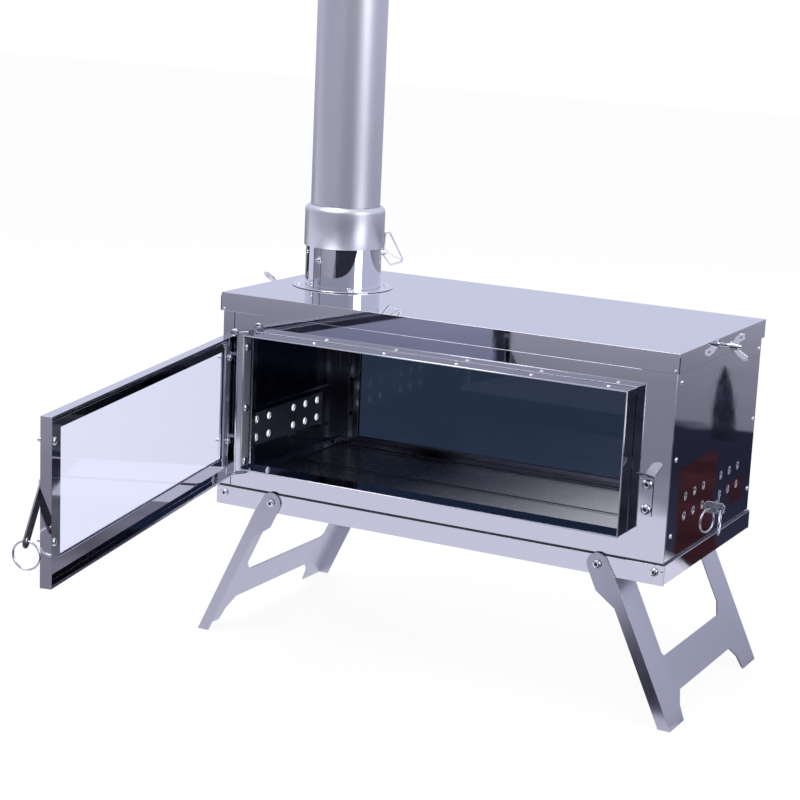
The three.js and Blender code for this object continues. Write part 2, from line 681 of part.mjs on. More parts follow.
// Two flat looped wings on a hub; its axis is Z and it sits on z = 0.
function wingNutSolid() {
  const hub = turned([
    [M4_SHANK + RUNNING_GAP, 0],
    [WING_HUB_RADIUS, 0],
    [WING_HUB_RADIUS - WING_HUB_TAPER, WING_HUB_LENGTH],
    [M4_SHANK + RUNNING_GAP, WING_HUB_LENGTH],
  ], 12);
  const root = WING_HUB_RADIUS - WING_HUB_TAPER;
  const wings = [-1, 1].map((side) => {
    const outline = polygon([
      [side * root, WING_HUB_LENGTH * 0.2],
      [side * WING_SPAN * 0.67, WING_RISE * 0.38],
      [side * WING_SPAN, WING_RISE * 0.72],
      [side * WING_SPAN * 0.97, WING_RISE],
      [side * WING_SPAN * 0.67, WING_RISE],
      [side * root, WING_HUB_LENGTH * 0.9],
    ]);
    const slot = polygon([
      [side * WING_SPAN * 0.57, WING_RISE * 0.53],
      [side * WING_SPAN * 0.87, WING_RISE * 0.8],
      [side * WING_SPAN * 0.84, WING_RISE * 0.88],
      [side * WING_SPAN * 0.56, WING_RISE * 0.7],
    ]);
    return cut(
      prism(outline, 'Y', -WING_SHEET / 2, WING_SHEET / 2),
      prism(slot, 'Y', -WING_SHEET, WING_SHEET),
    );
  });
  return join(hub, ...wings);
}

function addWingNuts() {
  for (const [label, side, direction] of [['left', -1, OUT_LEFT], ['right', 1, OUT_RIGHT]]) {
    const inside = side * (BOX_RIGHT - SHEET - GAP);
    const length = RIGHT + WING_BOLT_REACH - Math.abs(inside);
    addScrew(
      stove,
      `wing_bolt_${label}`,
      [inside, 0, WING_HEIGHT],
      direction.clone().negate(),
      length,
    );
    const nut = addPiece(stove, `wing_nut_${label}`, wingNutSolid(), BRIGHT_STEEL);
    placed(nut, [side * (RIGHT + WING_NUT_SEAT), 0, WING_HEIGHT], direction);
    nut.rotateZ(THREE.MathUtils.degToRad(side * WING_TURN));
  }
}

// --------------------------------------------------------------------------- vents

function addVentSlide(label, side, centre) {
  const face = BOX_RIGHT - SHEET - GAP;
  const plateX = span(side, face - SHEET, face);
  const tabCentre = centre + TAB_FROM_CENTRE;
  const plate = box(plateX, [centre - SLIDE_HALF, centre + SLIDE_HALF], [SLIDE_BOTTOM, SLIDE_TOP]);
  const tip = BOX_RIGHT + TAB_REACH;
  const outside = BOX_RIGHT + TAB_ROOM;
  const tab = prism(polygon([
    [side * (face - SHEET), TAB_NECK[0]],
    [side * outside, TAB_NECK[0]],
    [side * outside, TAB_LOW],
    [side * (tip - TAB_CORNER), TAB_LOW],
    [side * tip, TAB_LOW + TAB_CORNER],
    [side * tip, TAB_NECK[1] - TAB_CORNER],
    [side * (tip - TAB_CORNER), TAB_NECK[1]],
    [side * (face - SHEET), TAB_NECK[1]],
  ]), 'Y', tabCentre - SHEET / 2, tabCentre + SHEET / 2);
  const ringX = side * (tip - TAB_HOLE - TAB_RING_INSET);
  const ringHole = rod('Y', [ringX, TAB_HOLE_HEIGHT], TAB_HOLE, tabCentre - SHEET, tabCentre + SHEET, 10);
  const holes = ventHoles(centre, ...span(side, face - 3 * SHEET, face + SHEET));
  addPiece(stove, `vent_slide_${label}`, cut(join(plate, tab), ringHole, holes), SATIN_STEEL);

  const pull = addPiece(stove, `vent_ring_${label}`, ringSolid(), BRIGHT_STEEL);
  pull.position.set(ringX, tabCentre, TAB_HOLE_HEIGHT - RING_RADIUS - RING_SAG);
  pull.rotation.z = THREE.MathUtils.degToRad(-side * VENT_RING_TURN);
}

// A wire ring in the XZ plane round the origin.
function ringSolid() {
  const ring = new THREE.TorusGeometry(RING_RADIUS, RING_WIRE, 6, 18);
  ring.rotateX(Math.PI / 2);
  return solidOf(ring);
}

// ---------------------------------------------------------------------------- flue

const COLLAR_BOLT_HEIGHT = 31;
const COLLAR_BOLT_LENGTH = 9;
const COLLAR_NUT = 3.2;
const COLLAR_SHELF = 6;       // collar's foot, wider than the hole in the lid
const FLUE_SIDES = 28;
const SPINDLE_INNER_END = 1;
const SPINDLE_OUTER_END = 8;
const DAMPER_CLIP = 8;
const HUB_WALL = 1.6;
const HUB_LENGTH = 5.4;
const HANDLE_STRIP = 1.2;
const HANDLE_WIDTH = 3.6;

function addFlue() {
  const flue = new THREE.Group();
  flue.position.set(FLUE_X, 0, LID_TOP);
  stove.add(flue);
  const seam = THREE.MathUtils.degToRad(SEAM_ANGLE);
  const seamOut = new THREE.Vector3(Math.cos(seam), Math.sin(seam), 0);

  const flangeRivets = [];
  for (let i = 0; i < FLANGE_RIVETS; i += 1) {
    const angle = THREE.MathUtils.degToRad(FLANGE_RIVET_ANGLE + (i / FLANGE_RIVETS) * 360);
    const radius = (COLLAR_RADIUS + FLANGE_RADIUS) / 2;
    const place = [radius * Math.cos(angle), radius * Math.sin(angle), GAP + SHEET];
    flangeRivets.push(rivet(place, OUT_TOP, BIG_RIVET));
  }
  const ring = turned([
    [COLLAR_RADIUS + GAP, GAP],
    [FLANGE_RADIUS, GAP],
    [FLANGE_RADIUS, GAP + SHEET],
    [COLLAR_RADIUS + GAP, GAP + SHEET],
  ], FLUE_SIDES);
  addPiece(flue, 'flue_flange', join(ring, ...flangeRivets), BRIGHT_STEEL);

  const sleeve = turned([
    [COLLAR_INSIDE, -COLLAR_BELOW_LID],
    [COLLAR_RADIUS, -COLLAR_BELOW_LID],
    [COLLAR_RADIUS, COLLAR_HEIGHT],
    [COLLAR_INSIDE, COLLAR_HEIGHT],
  ], FLUE_SIDES);
  const shelf = turned([
    [COLLAR_RADIUS - SHEET / 2, -COLLAR_BELOW_LID],
    [COLLAR_RADIUS + COLLAR_SHELF, -COLLAR_BELOW_LID],
    [COLLAR_RADIUS + COLLAR_SHELF, -COLLAR_BELOW_LID + SHEET],
    [COLLAR_RADIUS - SHEET / 2, -COLLAR_BELOW_LID + SHEET],
  ], FLUE_SIDES);
  const spindleReach = COLLAR_RADIUS + PAST;
  const spindleHole = rod('X', [0, DAMPER_HEIGHT], SPINDLE_RADIUS + RUNNING_GAP, -spindleReach, spindleReach, 10)
    .rotate([0, 0, DAMPER_ANGLE]);
  const boltHole = rod('X', [0, COLLAR_BOLT_HEIGHT], M4_SHANK + RUNNING_GAP, 0, spindleReach, 10)
    .rotate([0, 0, SEAM_ANGLE]);
  addPiece(flue, 'flue_collar', cut(join(sleeve, shelf), spindleHole, boltHole), MIRROR_STEEL);

  const boltSeat = seamOut.clone().multiplyScalar(COLLAR_INSIDE - 2 * GAP);
  addScrew(
    flue,
    'collar_bolt',
    [boltSeat.x, boltSeat.y, COLLAR_BOLT_HEIGHT],
    seamOut.clone().negate(),
    COLLAR_BOLT_LENGTH,
    M4_SHANK,
    SMALL_HEAD,
  );
  const nutSeat = seamOut.clone().multiplyScalar(COLLAR_RADIUS + GAP);
  addNut(flue, 'collar_nut', [nutSeat.x, nutSeat.y, COLLAR_BOLT_HEIGHT], seamOut, COLLAR_NUT);

  const capInside = CAP_RADIUS - FLUE_SHEET;
  const neckOut = PIPE_RADIUS - FLUE_SHEET - GAP;
  const neckIn = neckOut - FLUE_SHEET;
  const profile = [[capInside, CAP_BOTTOM], [CAP_RADIUS, CAP_BOTTOM]];
  const arcSteps = 3;
  for (let i = 0; i <= arcSteps; i += 1) {
    const angle = (i / arcSteps) * (Math.PI / 2);
    profile.push([
      CAP_RADIUS - CAP_SHOULDER_RADIUS * (1 - Math.cos(angle)),
      CAP_SHOULDER - CAP_SHOULDER_RADIUS * (1 - Math.sin(angle)),
    ]);
  }
  profile.push([neckOut, CAP_SHOULDER]);
  profile.push([neckOut, CAP_SHOULDER + NECK_HEIGHT]);
  profile.push([neckIn, CAP_SHOULDER + NECK_HEIGHT]);
  profile.push([neckIn, CAP_SHOULDER - FLUE_SHEET]);
  profile.push([neckIn + 1, CAP_SHOULDER - FLUE_SHEET]);
  profile.push([capInside, CAP_SHOULDER - CAP_SHOULDER_RADIUS]);
  addPiece(flue, 'pipe_adapter', turned(profile, FLUE_SIDES), SATIN_STEEL);

  const pipeBottom = CAP_SHOULDER + GAP;
  addPiece(flue, 'chimney_pipe', turned([
    [PIPE_RADIUS - FLUE_SHEET, pipeBottom],
    [PIPE_RADIUS, pipeBottom],
    [PIPE_RADIUS, pipeBottom + PIPE_LENGTH],
    [PIPE_RADIUS - FLUE_SHEET, pipeBottom + PIPE_LENGTH],
  ], FLUE_SIDES), SATIN_STEEL);

  addDamper(flue);
}

// The damper is built along X and turned to the spindle's direction. It stands open.
function addDamper(flue) {
  const damper = new THREE.Group();
  damper.position.set(0, 0, DAMPER_HEIGHT);
  damper.rotation.z = THREE.MathUtils.degToRad(DAMPER_ANGLE);
  flue.add(damper);

  const inEnd = -COLLAR_RADIUS - SPINDLE_INNER_END;
  const outEnd = COLLAR_RADIUS + SPINDLE_OUTER_END;
  addPiece(damper, 'damper_spindle', rod('X', [0, 0], SPINDLE_RADIUS, inEnd, outEnd, 12), BRIGHT_STEEL);

  const seat = SPINDLE_RADIUS + GAP;
  const plate = prism(disc(0, 0, DAMPER_DISC_RADIUS, 32), 'Y', seat, seat + SHEET);
  const clips = [-1, 1].map((side) => {
    const middle = side * DAMPER_DISC_RADIUS * 0.6;
    const x = [middle - DAMPER_CLIP / 2, middle + DAMPER_CLIP / 2];
    return cut(
      box(x, [-seat - SHEET, seat + SHEET / 2], [-seat - SHEET, seat + SHEET]),
      rod('X', [0, 0], SPINDLE_RADIUS + GAP, x[0] - PAST, x[1] + PAST, 12),
    );
  });
  addPiece(damper, 'damper_disc', join(plate, ...clips), SATIN_STEEL);

  const hubX = [COLLAR_RADIUS + 2 * GAP, COLLAR_RADIUS + 2 * GAP + HUB_LENGTH];
  const hub = rod('X', [0, 0], SPINDLE_RADIUS + HUB_WALL, ...hubX, 12);
  const bore = rod('X', [0, 0], SPINDLE_RADIUS + RUNNING_GAP, hubX[0] - PAST, outEnd + GAP, 12);
  const near = hubX[1] - SPINDLE_RADIUS;
  // The hoop's corners, outwards and upwards from the hub.
  const outline = [
    [near, 3],
    [near + 1, 20],
    [near + 6, 20.5],
    [near + 21, -7],
    [near + 20, -11],
    [near + 8, -14],
    [near, -4],
  ];
  const brace = loopStrip([[near + HANDLE_STRIP, 0], [near + 20.5, -9]]);
  addPiece(damper, 'damper_handle', cut(join(hub, loopStrip(outline), brace), bore), SATIN_STEEL);
}

// A closed strip bent along an outline in the XZ plane, left open where the hub sits.
function loopStrip(points) {
  const bars = points.slice(0, -1).map(([x0, z0], i) => {
    const [x1, z1] = points[i + 1];
    const long = Math.hypot(x1 - x0, z1 - z0);
    const bar = new THREE.BoxGeometry(long + HANDLE_STRIP, HANDLE_WIDTH, HANDLE_STRIP);
    bar.rotateY(-Math.atan2(z1 - z0, x1 - x0));
    bar.translate((x0 + x1) / 2, 0, (z0 + z1) / 2);
    return solidOf(bar);
  });
  return join(...bars);
}

// ---------------------------------------------------------------------------- door

const DOOR_X = [DOOR_REACH, DOOR_REACH + DOOR_LENGTH];
const DOOR_BACK = DOOR_FACE + DOOR_WALL;
const RETAINER_CLEARANCE = 4; // beside the rim's inside when the door is shut
const DOOR_BOLT_OUT = 8;
const DOOR_NUT = 3;

function doorRimInside() {
  const toDoor = (x) => x - HINGE_X;
  return {
    x: [toDoor(RIM_LEFT) + SHEET, toDoor(RIM_RIGHT) - SHEET],
    z: [RIM_BOTTOM + SHEET, RIM_TOP - SHEET],
  };
}

function doorBoltPlaces() {
  const xs = [DOOR_X[0] + DOOR_BOLT_INSET, DOOR_X[1] - DOOR_BOLT_INSET];
  const zs = [DOOR_TOP - DOOR_BOLT_TOP, DOOR_BOTTOM + DOOR_BOLT_BOTTOM];
  return [
    ['top_inner', xs[0], zs[0]],
    ['bottom_inner', xs[0], zs[1]],
    ['top_outer', xs[1], zs[0]],
    ['bottom_outer', xs[1], zs[1]],
  ];
}

function addDoor() {
  const door = new THREE.Group();
  door.position.set(HINGE_X, HINGE_Y, 0);
  door.rotation.z = THREE.MathUtils.degToRad(-DOOR_OPEN_ANGLE);
  stove.add(door);

  const outer = { x: DOOR_X, z: [DOOR_BOTTOM, DOOR_TOP] };
  const window = {
    x: [DOOR_X[0] + WINDOW_SIDE_MARGIN, DOOR_X[1] - WINDOW_SIDE_MARGIN],
    z: [DOOR_BOTTOM + WINDOW_BOTTOM_MARGIN, DOOR_TOP - WINDOW_TOP_MARGIN],
  };
  const inner = grown(outer, -SHEET);
  const boltHoles = doorBoltPlaces().map(([, x, z]) => (
    rod('Y', [x, z], M4_SHANK + RUNNING_GAP, DOOR_FACE - PAST, DOOR_BACK, 10)
  ));
  const strapPivot = strapPivotPlace();
  const pivotHole = rod('Y', strapPivot, M4_SHANK + RUNNING_GAP, DOOR_FACE - PAST, DOOR_BACK, 10);
  const tray = join(
    frameSheet(outer, window, DOOR_FACE, DOOR_FACE + SHEET),
    frameSheet(outer, inner, DOOR_FACE, DOOR_BACK),
  );
  const lugs = [[DOOR_TOP - SHEET, DOOR_TOP], [DOOR_BOTTOM, DOOR_BOTTOM + SHEET]].map((z) => join(
    rod('Z', [0, 0], LUG_RADIUS, ...z, 12),
    box([0, DOOR_X[0] + SHEET], [-LUG_RADIUS, LUG_RADIUS], z),
  ));
  const pinHole = rod('Z', [0, 0], PIN_RADIUS + RUNNING_GAP, DOOR_BOTTOM - PAST, DOOR_TOP + PAST, 12);
  addPiece(
    door,
    'door_frame',
    cut(join(tray, ...lugs), pinHole, pivotHole, ...boltHoles),
    MIRROR_STEEL,
  );

  const clear = grown(doorRimInside(), -RETAINER_CLEARANCE);
  const glassFront = DOOR_FACE + SHEET + GAP;
  const glassBack = glassFront + GLASS;
  const boltXs = [DOOR_X[0] + DOOR_BOLT_INSET, DOOR_X[1] - DOOR_BOLT_INSET];
  const paneX = [boltXs[0] + M4_SHANK + 2 * GAP, boltXs[1] - M4_SHANK - 2 * GAP];
  addPiece(door, 'door_glass', box(paneX, [glassFront, glassBack], clear.z), DOOR_GLASS);

  const retainerY = [glassBack + GAP, glassBack + GAP + SHEET];
  const retainer = cut(
    frameSheet(clear, window, ...retainerY),
    ...doorBoltPlaces().map(([, x, z]) => (
      rod('Y', [x, z], M4_SHANK + RUNNING_GAP, DOOR_FACE, DOOR_BACK, 10)
    )),
  );
  addPiece(door, 'door_glass_frame', retainer, MIRROR_STEEL);

  const boltLength = retainerY[1] + GAP - DOOR_FACE + DOOR_BOLT_OUT;
  for (const [label, x, z] of doorBoltPlaces()) {
    addScrew(door, `door_bolt_${label}`, [x, retainerY[1] + GAP, z], OUT_BACK, boltLength, M4_SHANK, SMALL_HEAD);
    addNut(door, `door_nut_${label}`, [x, DOOR_FACE - GAP, z], OUT_FRONT, DOOR_NUT);
  }
  addLatch(door, strapPivot);
}

function strapPivotPlace() {
  return [DOOR_X[1] - STRAP_PIVOT_INSET, DOOR_TOP - STRAP_PIVOT_DROP];
}

// A strap that pivots on the door's face and carries a pull ring at its low end.
function addLatch(door, [pivotX, pivotZ]) {
  const hole = [pivotX + STRAP_SWING, pivotZ - STRAP_DROP];
  const angle = Math.atan2(-STRAP_DROP, STRAP_SWING);
  const along = [Math.cos(angle), Math.sin(angle)];
  const half = STRAP_WIDTH / 2;
  const outline = new THREE.Shape();
  outline.absarc(pivotX, pivotZ, half, angle + Math.PI / 2, angle + 1.5 * Math.PI, false);
  outline.absarc(
    hole[0] + along[0] * STRAP_END,
    hole[1] + along[1] * STRAP_END,
    half,
    angle - Math.PI / 2,
    angle + Math.PI / 2,
    false,
  );
  const outside = DOOR_FACE - GAP;
  const through = [outside - STRAP_THICKNESS - PAST, outside + PAST];
  const strap = cut(
    prism(outline, 'Y', outside - STRAP_THICKNESS, outside, 6),
    rod('Y', [pivotX, pivotZ], M4_SHANK + RUNNING_GAP, ...through, 10),
    rod('Y', hole, TAB_HOLE, ...through, 10),
  );
  addPiece(door, 'latch_lever', strap, BLACK_STEEL);
  addScrew(
    door,
    'latch_pivot_screw',
    [pivotX, outside - STRAP_THICKNESS - GAP, pivotZ],
    OUT_FRONT,
    STRAP_THICKNESS + 2 * GAP + SHEET + STRAP_SCREW_END,
    M4_SHANK,
    SMALL_HEAD,
  );
  const ring = addPiece(door, 'latch_ring', ringSolid(), BRIGHT_STEEL);
  ring.rotation.z = Math.PI / 2;
  ring.position.set(hole[0], outside - STRAP_THICKNESS / 2, hole[1] - RING_RADIUS - RING_SAG);
}

const EAR_SHEET = 1.2;
const EAR_CLEARANCE = 0.4;
const PIN_HEAD = 3.2;
const LEAF_BACK = 3;          // leaf's edge from the box face
const LEAF_INSET = 1;         // leaf's other edges from the rim's
const LEAF_RIVET_INSET = 12;
const DOOR_SWING_ROOM = 2;    // between the shut door and the leaf's risers
const PIN_END = 5;

// The leaf on the rim's left wall, with an ear above and one below the door.
function addHinge() {
  const leafX = [RIM_LEFT - GAP - SHEET, RIM_LEFT - GAP];
  const leafY = [RIM_FRONT + LEAF_INSET, BOX_FRONT - LEAF_BACK];
  const riserY = [HINGE_Y + DOOR_BACK + DOOR_SWING_ROOM, BOX_FRONT - LEAF_BACK];
  const earOuter = HINGE_X - LUG_RADIUS;
  const top = [DOOR_TOP + EAR_CLEARANCE, DOOR_TOP + EAR_CLEARANCE + EAR_SHEET];
  const bottom = [DOOR_BOTTOM - EAR_CLEARANCE - EAR_SHEET, DOOR_BOTTOM - EAR_CLEARANCE];
  const ears = [top, bottom].map((z) => {
    const outline = polygon([
      [leafX[1], riserY[1]],
      [leafX[0] - SHEET, riserY[1]],
      [earOuter, HINGE_Y + PIN_RADIUS],
      [earOuter, HINGE_Y - LUG_RADIUS],
      [HINGE_X + LUG_RADIUS, HINGE_Y - LUG_RADIUS],
      [leafX[1], riserY[0]],
    ]);
    return prism(outline, 'Z', ...z);
  });
  const leaf = join(
    box(leafX, leafY, [RIM_BOTTOM + LEAF_INSET, RIM_TOP - LEAF_INSET]),
    box(leafX, riserY, [bottom[0], top[1]]),
    ...ears,
  );
  const rivetHeights = [RIM_BOTTOM + LEAF_RIVET_INSET, (RIM_BOTTOM + RIM_TOP) / 2, RIM_TOP - LEAF_RIVET_INSET];
  const rivets = rivetHeights.map((z) => (
    rivet([leafX[0], (leafY[0] + leafY[1]) / 2, z], OUT_LEFT, RIM_RIVET)
  ));
  const pinHole = rod('Z', [HINGE_X, HINGE_Y], PIN_RADIUS + RUNNING_GAP, bottom[0] - PAST, top[1] + PAST, 12);
  addPiece(stove, 'hinge_leaf', cut(join(leaf, ...rivets), pinHole), BRIGHT_STEEL);

  const pinLength = GAP + EAR_SHEET + EAR_CLEARANCE + SHEET + PIN_END;
  for (const [label, z, direction] of [
    ['top', top[1] + GAP, OUT_TOP],
    ['bottom', bottom[0] - GAP, OUT_BOTTOM],
  ]) {
    addScrew(stove, `hinge_pin_${label}`, [HINGE_X, HINGE_Y, z], direction, pinLength, PIN_RADIUS, PIN_HEAD);
  }
}

// A catch plate with a rising tongue for the latch lever.
const KEEPER_WIDTH = 11;
const KEEPER_TOP = 103.5;
const KEEPER_BOTTOM = 65;
const TONGUE_RISE = 8.5;
const KEEPER_HEAD = 5;
const KEEPER_SCREW_END = 2;
const CATCH_CLEARANCE = 1.4;  // between the tongue's tip and the hanging lever

function addKeeper() {
  const y = BOX_FRONT - GAP;
  const leverBack = HINGE_Y + DOOR_FACE - GAP;
  const tip = leverBack + CATCH_CLEARANCE;
  const side = polygon([
    [y, KEEPER_BOTTOM],
    [y, KEEPER_TOP],
    [tip, KEEPER_TOP + TONGUE_RISE],
    [tip, KEEPER_TOP + TONGUE_RISE - SHEET],
    [y - SHEET, KEEPER_TOP - SHEET],
    [y - SHEET, KEEPER_BOTTOM],
  ]);
  const half = KEEPER_WIDTH / 2;
  const strip = prism(side, 'X', KEEPER_SCREW_X - half, KEEPER_SCREW_X + half);
  const plan = new THREE.Shape();
  plan.moveTo(KEEPER_SCREW_X + half, y + PAST);
  plan.lineTo(KEEPER_SCREW_X - half, y + PAST);
  plan.lineTo(KEEPER_SCREW_X - half, tip + half);
  plan.absarc(KEEPER_SCREW_X, tip + half, half, Math.PI, 2 * Math.PI, false);
  const rounded = prism(plan, 'Z', KEEPER_BOTTOM - PAST, KEEPER_TOP + TONGUE_RISE + PAST, 8);
  const holes = KEEPER_SCREWS.map((z) => (
    rod('Y', [KEEPER_SCREW_X, z], M4_SHANK + RUNNING_GAP, y - SHEET - PAST, y + PAST, 10)
  ));
  addPiece(stove, 'latch_keeper', cut(strip.intersect(rounded), ...holes), SATIN_STEEL);
  KEEPER_SCREWS.forEach((z, i) => {
    const place = [KEEPER_SCREW_X, y - SHEET - GAP, z];
    const length = 2 * GAP + 2 * SHEET + KEEPER_SCREW_END;
    addScrew(stove, `keeper_screw_${i + 1}`, place, OUT_FRONT, length, M4_SHANK, KEEPER_HEAD);
  });
}

// ---------------------------------------------------------------------------- legs

// A leg is built pointing straight down from its pivot, its web towards +X,
// then turned outwards. Heights are along the leg, downwards from the pivot.
function legSolid() {
  const webInside = LEG_PIVOT_HEIGHT + LEG_WEB_CLEARANCE;
  const webOutside = webInside + LEG_SHEET;
  const splay = THREE.MathUtils.degToRad(LEG_SPLAY);
  const footDrop = LEG_PIVOT_HEIGHT + LEG_FOOT_BELOW;
  const flangeInside = webOutside - LEG_FLANGE;
  // Height along the leg at which a level cut, drop below the pivot, meets a place n across.
  const levelAt = (drop, n) => (drop + n * Math.sin(splay)) / Math.cos(splay);
  const footAt = (n) => levelAt(footDrop, n);
  const webTopAt = (n) => levelAt(webInside, n);

  const flange = new THREE.Shape();
  flange.moveTo(webOutside, -webTopAt(webOutside));
  flange.lineTo(webOutside, -footAt(webOutside));
  flange.lineTo(flangeInside, -footAt(flangeInside));
  flange.lineTo(flangeInside, -LEG_NECK_BOTTOM);
  flange.lineTo(-LEG_EAR, -LEG_NECK_TOP);
  flange.lineTo(-LEG_EAR, 0);
  flange.absarc(0, 0, LEG_EAR, Math.PI, 0, true);
  flange.lineTo(LEG_EAR, -LEG_SHOULDER);

  const outside = BACK + GAP + LEG_SHEET;
  const flanges = [-1, 1].map((side) => prism(flange, 'Y', side * (outside - LEG_SHEET), side * outside, 10));

  const bottomCut = webTopAt(webInside);
  const webSide = polygon([
    [webInside, -webTopAt(webInside)],
    [webOutside, -webTopAt(webOutside)],
    [webOutside, -footAt(webOutside)],
    [webInside, -footAt(webInside)],
  ]);
  const web = prism(webSide, 'Y', -outside, outside);
  const bandEdge = outside - LEG_BAND;
  const chamfer = LEG_CHAMFER;
  const windowTop = -bottomCut - LEG_TOP_STRIP;
  const window = polygon([
    [-bandEdge, windowTop],
    [bandEdge, windowTop],
    [bandEdge, -LEG_BAR_TOP + chamfer],
    [bandEdge - chamfer, -LEG_BAR_TOP],
    [-bandEdge + chamfer / 3, -LEG_BAR_TOP],
    [-bandEdge, -LEG_BAR_TOP + chamfer / 3],
  ]);
  const foot = footAt(webOutside) + PAST;
  const arch = polygon([
    [-bandEdge + chamfer, -LEG_BAR_BOTTOM],
    [bandEdge - chamfer, -LEG_BAR_BOTTOM],
    [bandEdge, -LEG_BAR_BOTTOM - chamfer],
    [bandEdge + chamfer / 3, -foot],
    [-bandEdge - chamfer / 3, -foot],
    [-bandEdge, -LEG_BAR_BOTTOM - chamfer],
  ]);
  const bolts = rod('Y', [0, 0], M4_SHANK + RUNNING_GAP, -outside - PAST, outside + PAST, 10);
  return cut(
    join(web, ...flanges),
    prism(window, 'X', webInside - PAST, webOutside + PAST),
    prism(arch, 'X', webInside - PAST, webOutside + PAST),
    bolts,
  );
}

function addLegs() {
  for (const [label, side] of [['left', -1], ['right', 1]]) {
    const leg = addPiece(stove, `leg_${label}`, legSolid(), SATIN_STEEL);
    leg.position.set(side * (RIGHT - LEG_PIVOT_INSET), 0, LEG_PIVOT_HEIGHT);
    leg.rotation.z = side < 0 ? Math.PI : 0;
    leg.rotateY(THREE.MathUtils.degToRad(-LEG_SPLAY));
    for (const [face, direction, end] of [['front', OUT_FRONT, -1], ['back', OUT_BACK, 1]]) {
      const seat = BACK + LEG_SHEET + 2 * GAP;
      const place = [side * (RIGHT - LEG_PIVOT_INSET), end * seat, LEG_PIVOT_HEIGHT];
      const length = LEG_SHEET + 3 * GAP + SHEET + LEG_BOLT_REACH;
      addScrew(stove, `leg_bolt_${face}_${label}`, place, direction, length, M4_SHANK, LEG_BOLT_HEAD);
    }
  }
}

addBase();
addFrontPanel();
addOpeningRim();
addSidePanel('left', -1, VENT_CENTRE_LEFT);
addSidePanel('right', 1, VENT_CENTRE_RIGHT);
addBackPanel();
addLid();
addWingNuts();
addVentSlide('left', -1, VENT_CENTRE_LEFT);
addVentSlide('right', 1, VENT_CENTRE_RIGHT);
addFlue();
addHinge();
addDoor();
addKeeper();
addLegs();

export default stove;
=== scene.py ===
# Looks of the tent wood stove: polished and satin steel, glass, rounded sheet edges,
# round fasteners and rings, studio light and camera. Metres, in the frame of the solids.

import json
import math

import bmesh
import bpy
import numpy as np
from mathutils import Matrix, Vector

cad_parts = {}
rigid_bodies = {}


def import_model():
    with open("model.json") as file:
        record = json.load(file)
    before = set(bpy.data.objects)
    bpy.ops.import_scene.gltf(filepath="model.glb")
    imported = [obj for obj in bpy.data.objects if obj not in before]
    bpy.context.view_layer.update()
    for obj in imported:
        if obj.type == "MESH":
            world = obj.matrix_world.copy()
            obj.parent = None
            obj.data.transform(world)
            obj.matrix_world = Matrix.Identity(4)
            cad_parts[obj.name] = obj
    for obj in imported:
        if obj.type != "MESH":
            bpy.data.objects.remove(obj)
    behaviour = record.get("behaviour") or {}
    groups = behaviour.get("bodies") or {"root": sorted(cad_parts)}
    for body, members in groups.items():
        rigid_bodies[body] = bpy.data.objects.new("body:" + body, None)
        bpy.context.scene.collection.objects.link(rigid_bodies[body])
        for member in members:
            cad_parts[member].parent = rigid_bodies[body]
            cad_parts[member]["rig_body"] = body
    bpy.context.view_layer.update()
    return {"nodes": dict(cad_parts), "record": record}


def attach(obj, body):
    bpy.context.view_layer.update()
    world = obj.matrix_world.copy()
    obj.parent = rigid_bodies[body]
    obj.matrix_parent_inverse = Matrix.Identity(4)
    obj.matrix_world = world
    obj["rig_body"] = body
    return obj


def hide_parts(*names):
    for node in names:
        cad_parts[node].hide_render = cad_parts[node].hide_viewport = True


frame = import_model()
NODES = frame["nodes"]
BODY_OF = {n: o["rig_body"] for n, o in NODES.items()}
DOOR_TURN = math.radians(-77.9)
DOOR_OUT = Vector((math.sin(DOOR_TURN), -math.cos(DOOR_TURN), 0))
LID_TOP = 0.223
FLUE = Vector((-0.1793, 0, LID_TOP))
HINGE = Vector((-0.220, -0.145, 0))
UP = Vector((0, 0, 1))
MM = 0.001
SLOT_OF = {s["node"]: s["material_slot"] for s in frame["record"]["subparts"]}


# ------------------------------------------------------------------ materials


def shader(name):
    m = bpy.data.materials.new(name)
    m.use_nodes = True
    tree = m.node_tree
    tree.nodes.clear()
    out = tree.nodes.new("ShaderNodeOutputMaterial")
    bsdf = tree.nodes.new("ShaderNodeBsdfPrincipled")
    tree.links.new(bsdf.outputs["BSDF"], out.inputs["Surface"])
    return m, tree, bsdf


def noise(tree, scale, stretch=(1, 1, 1), detail=3.0):
    place = tree.nodes.new("ShaderNodeTexCoord")
    mapping = tree.nodes.new("ShaderNodeMapping")
    mapping.inputs["Scale"].default_value = stretch
    n = tree.nodes.new("ShaderNodeTexNoise")
    n.inputs["Scale"].default_value = scale
    n.inputs["Detail"].default_value = detail
    tree.links.new(place.outputs["Object"], mapping.inputs["Vector"])
    tree.links.new(mapping.outputs["Vector"], n.inputs["Vector"])
    return n.outputs["Fac"]


def map_range(tree, value, source, target=(0, 1)):
    r = tree.nodes.new("ShaderNodeMapRange")
    for socket, number in zip(("From Min", "From Max", "To Min", "To Max"), (*source, *target)):
        r.inputs[socket].default_value = number
    tree.links.new(value, r.inputs["Value"])
    return r.outputs["Result"]


# Noise hardly leaves the middle of its range, so that part is spread from low to high.
def ranged(tree, value, low, high):
    return map_range(tree, value, (0.3, 0.7), (low, high))


def coordinate(tree, kind, axis):
    place = tree.nodes.new("ShaderNodeTexCoord")
    apart = tree.nodes.new("ShaderNodeSeparateXYZ")
    tree.links.new(place.outputs[kind], apart.inputs["Vector"])
    return apart.outputs[axis]


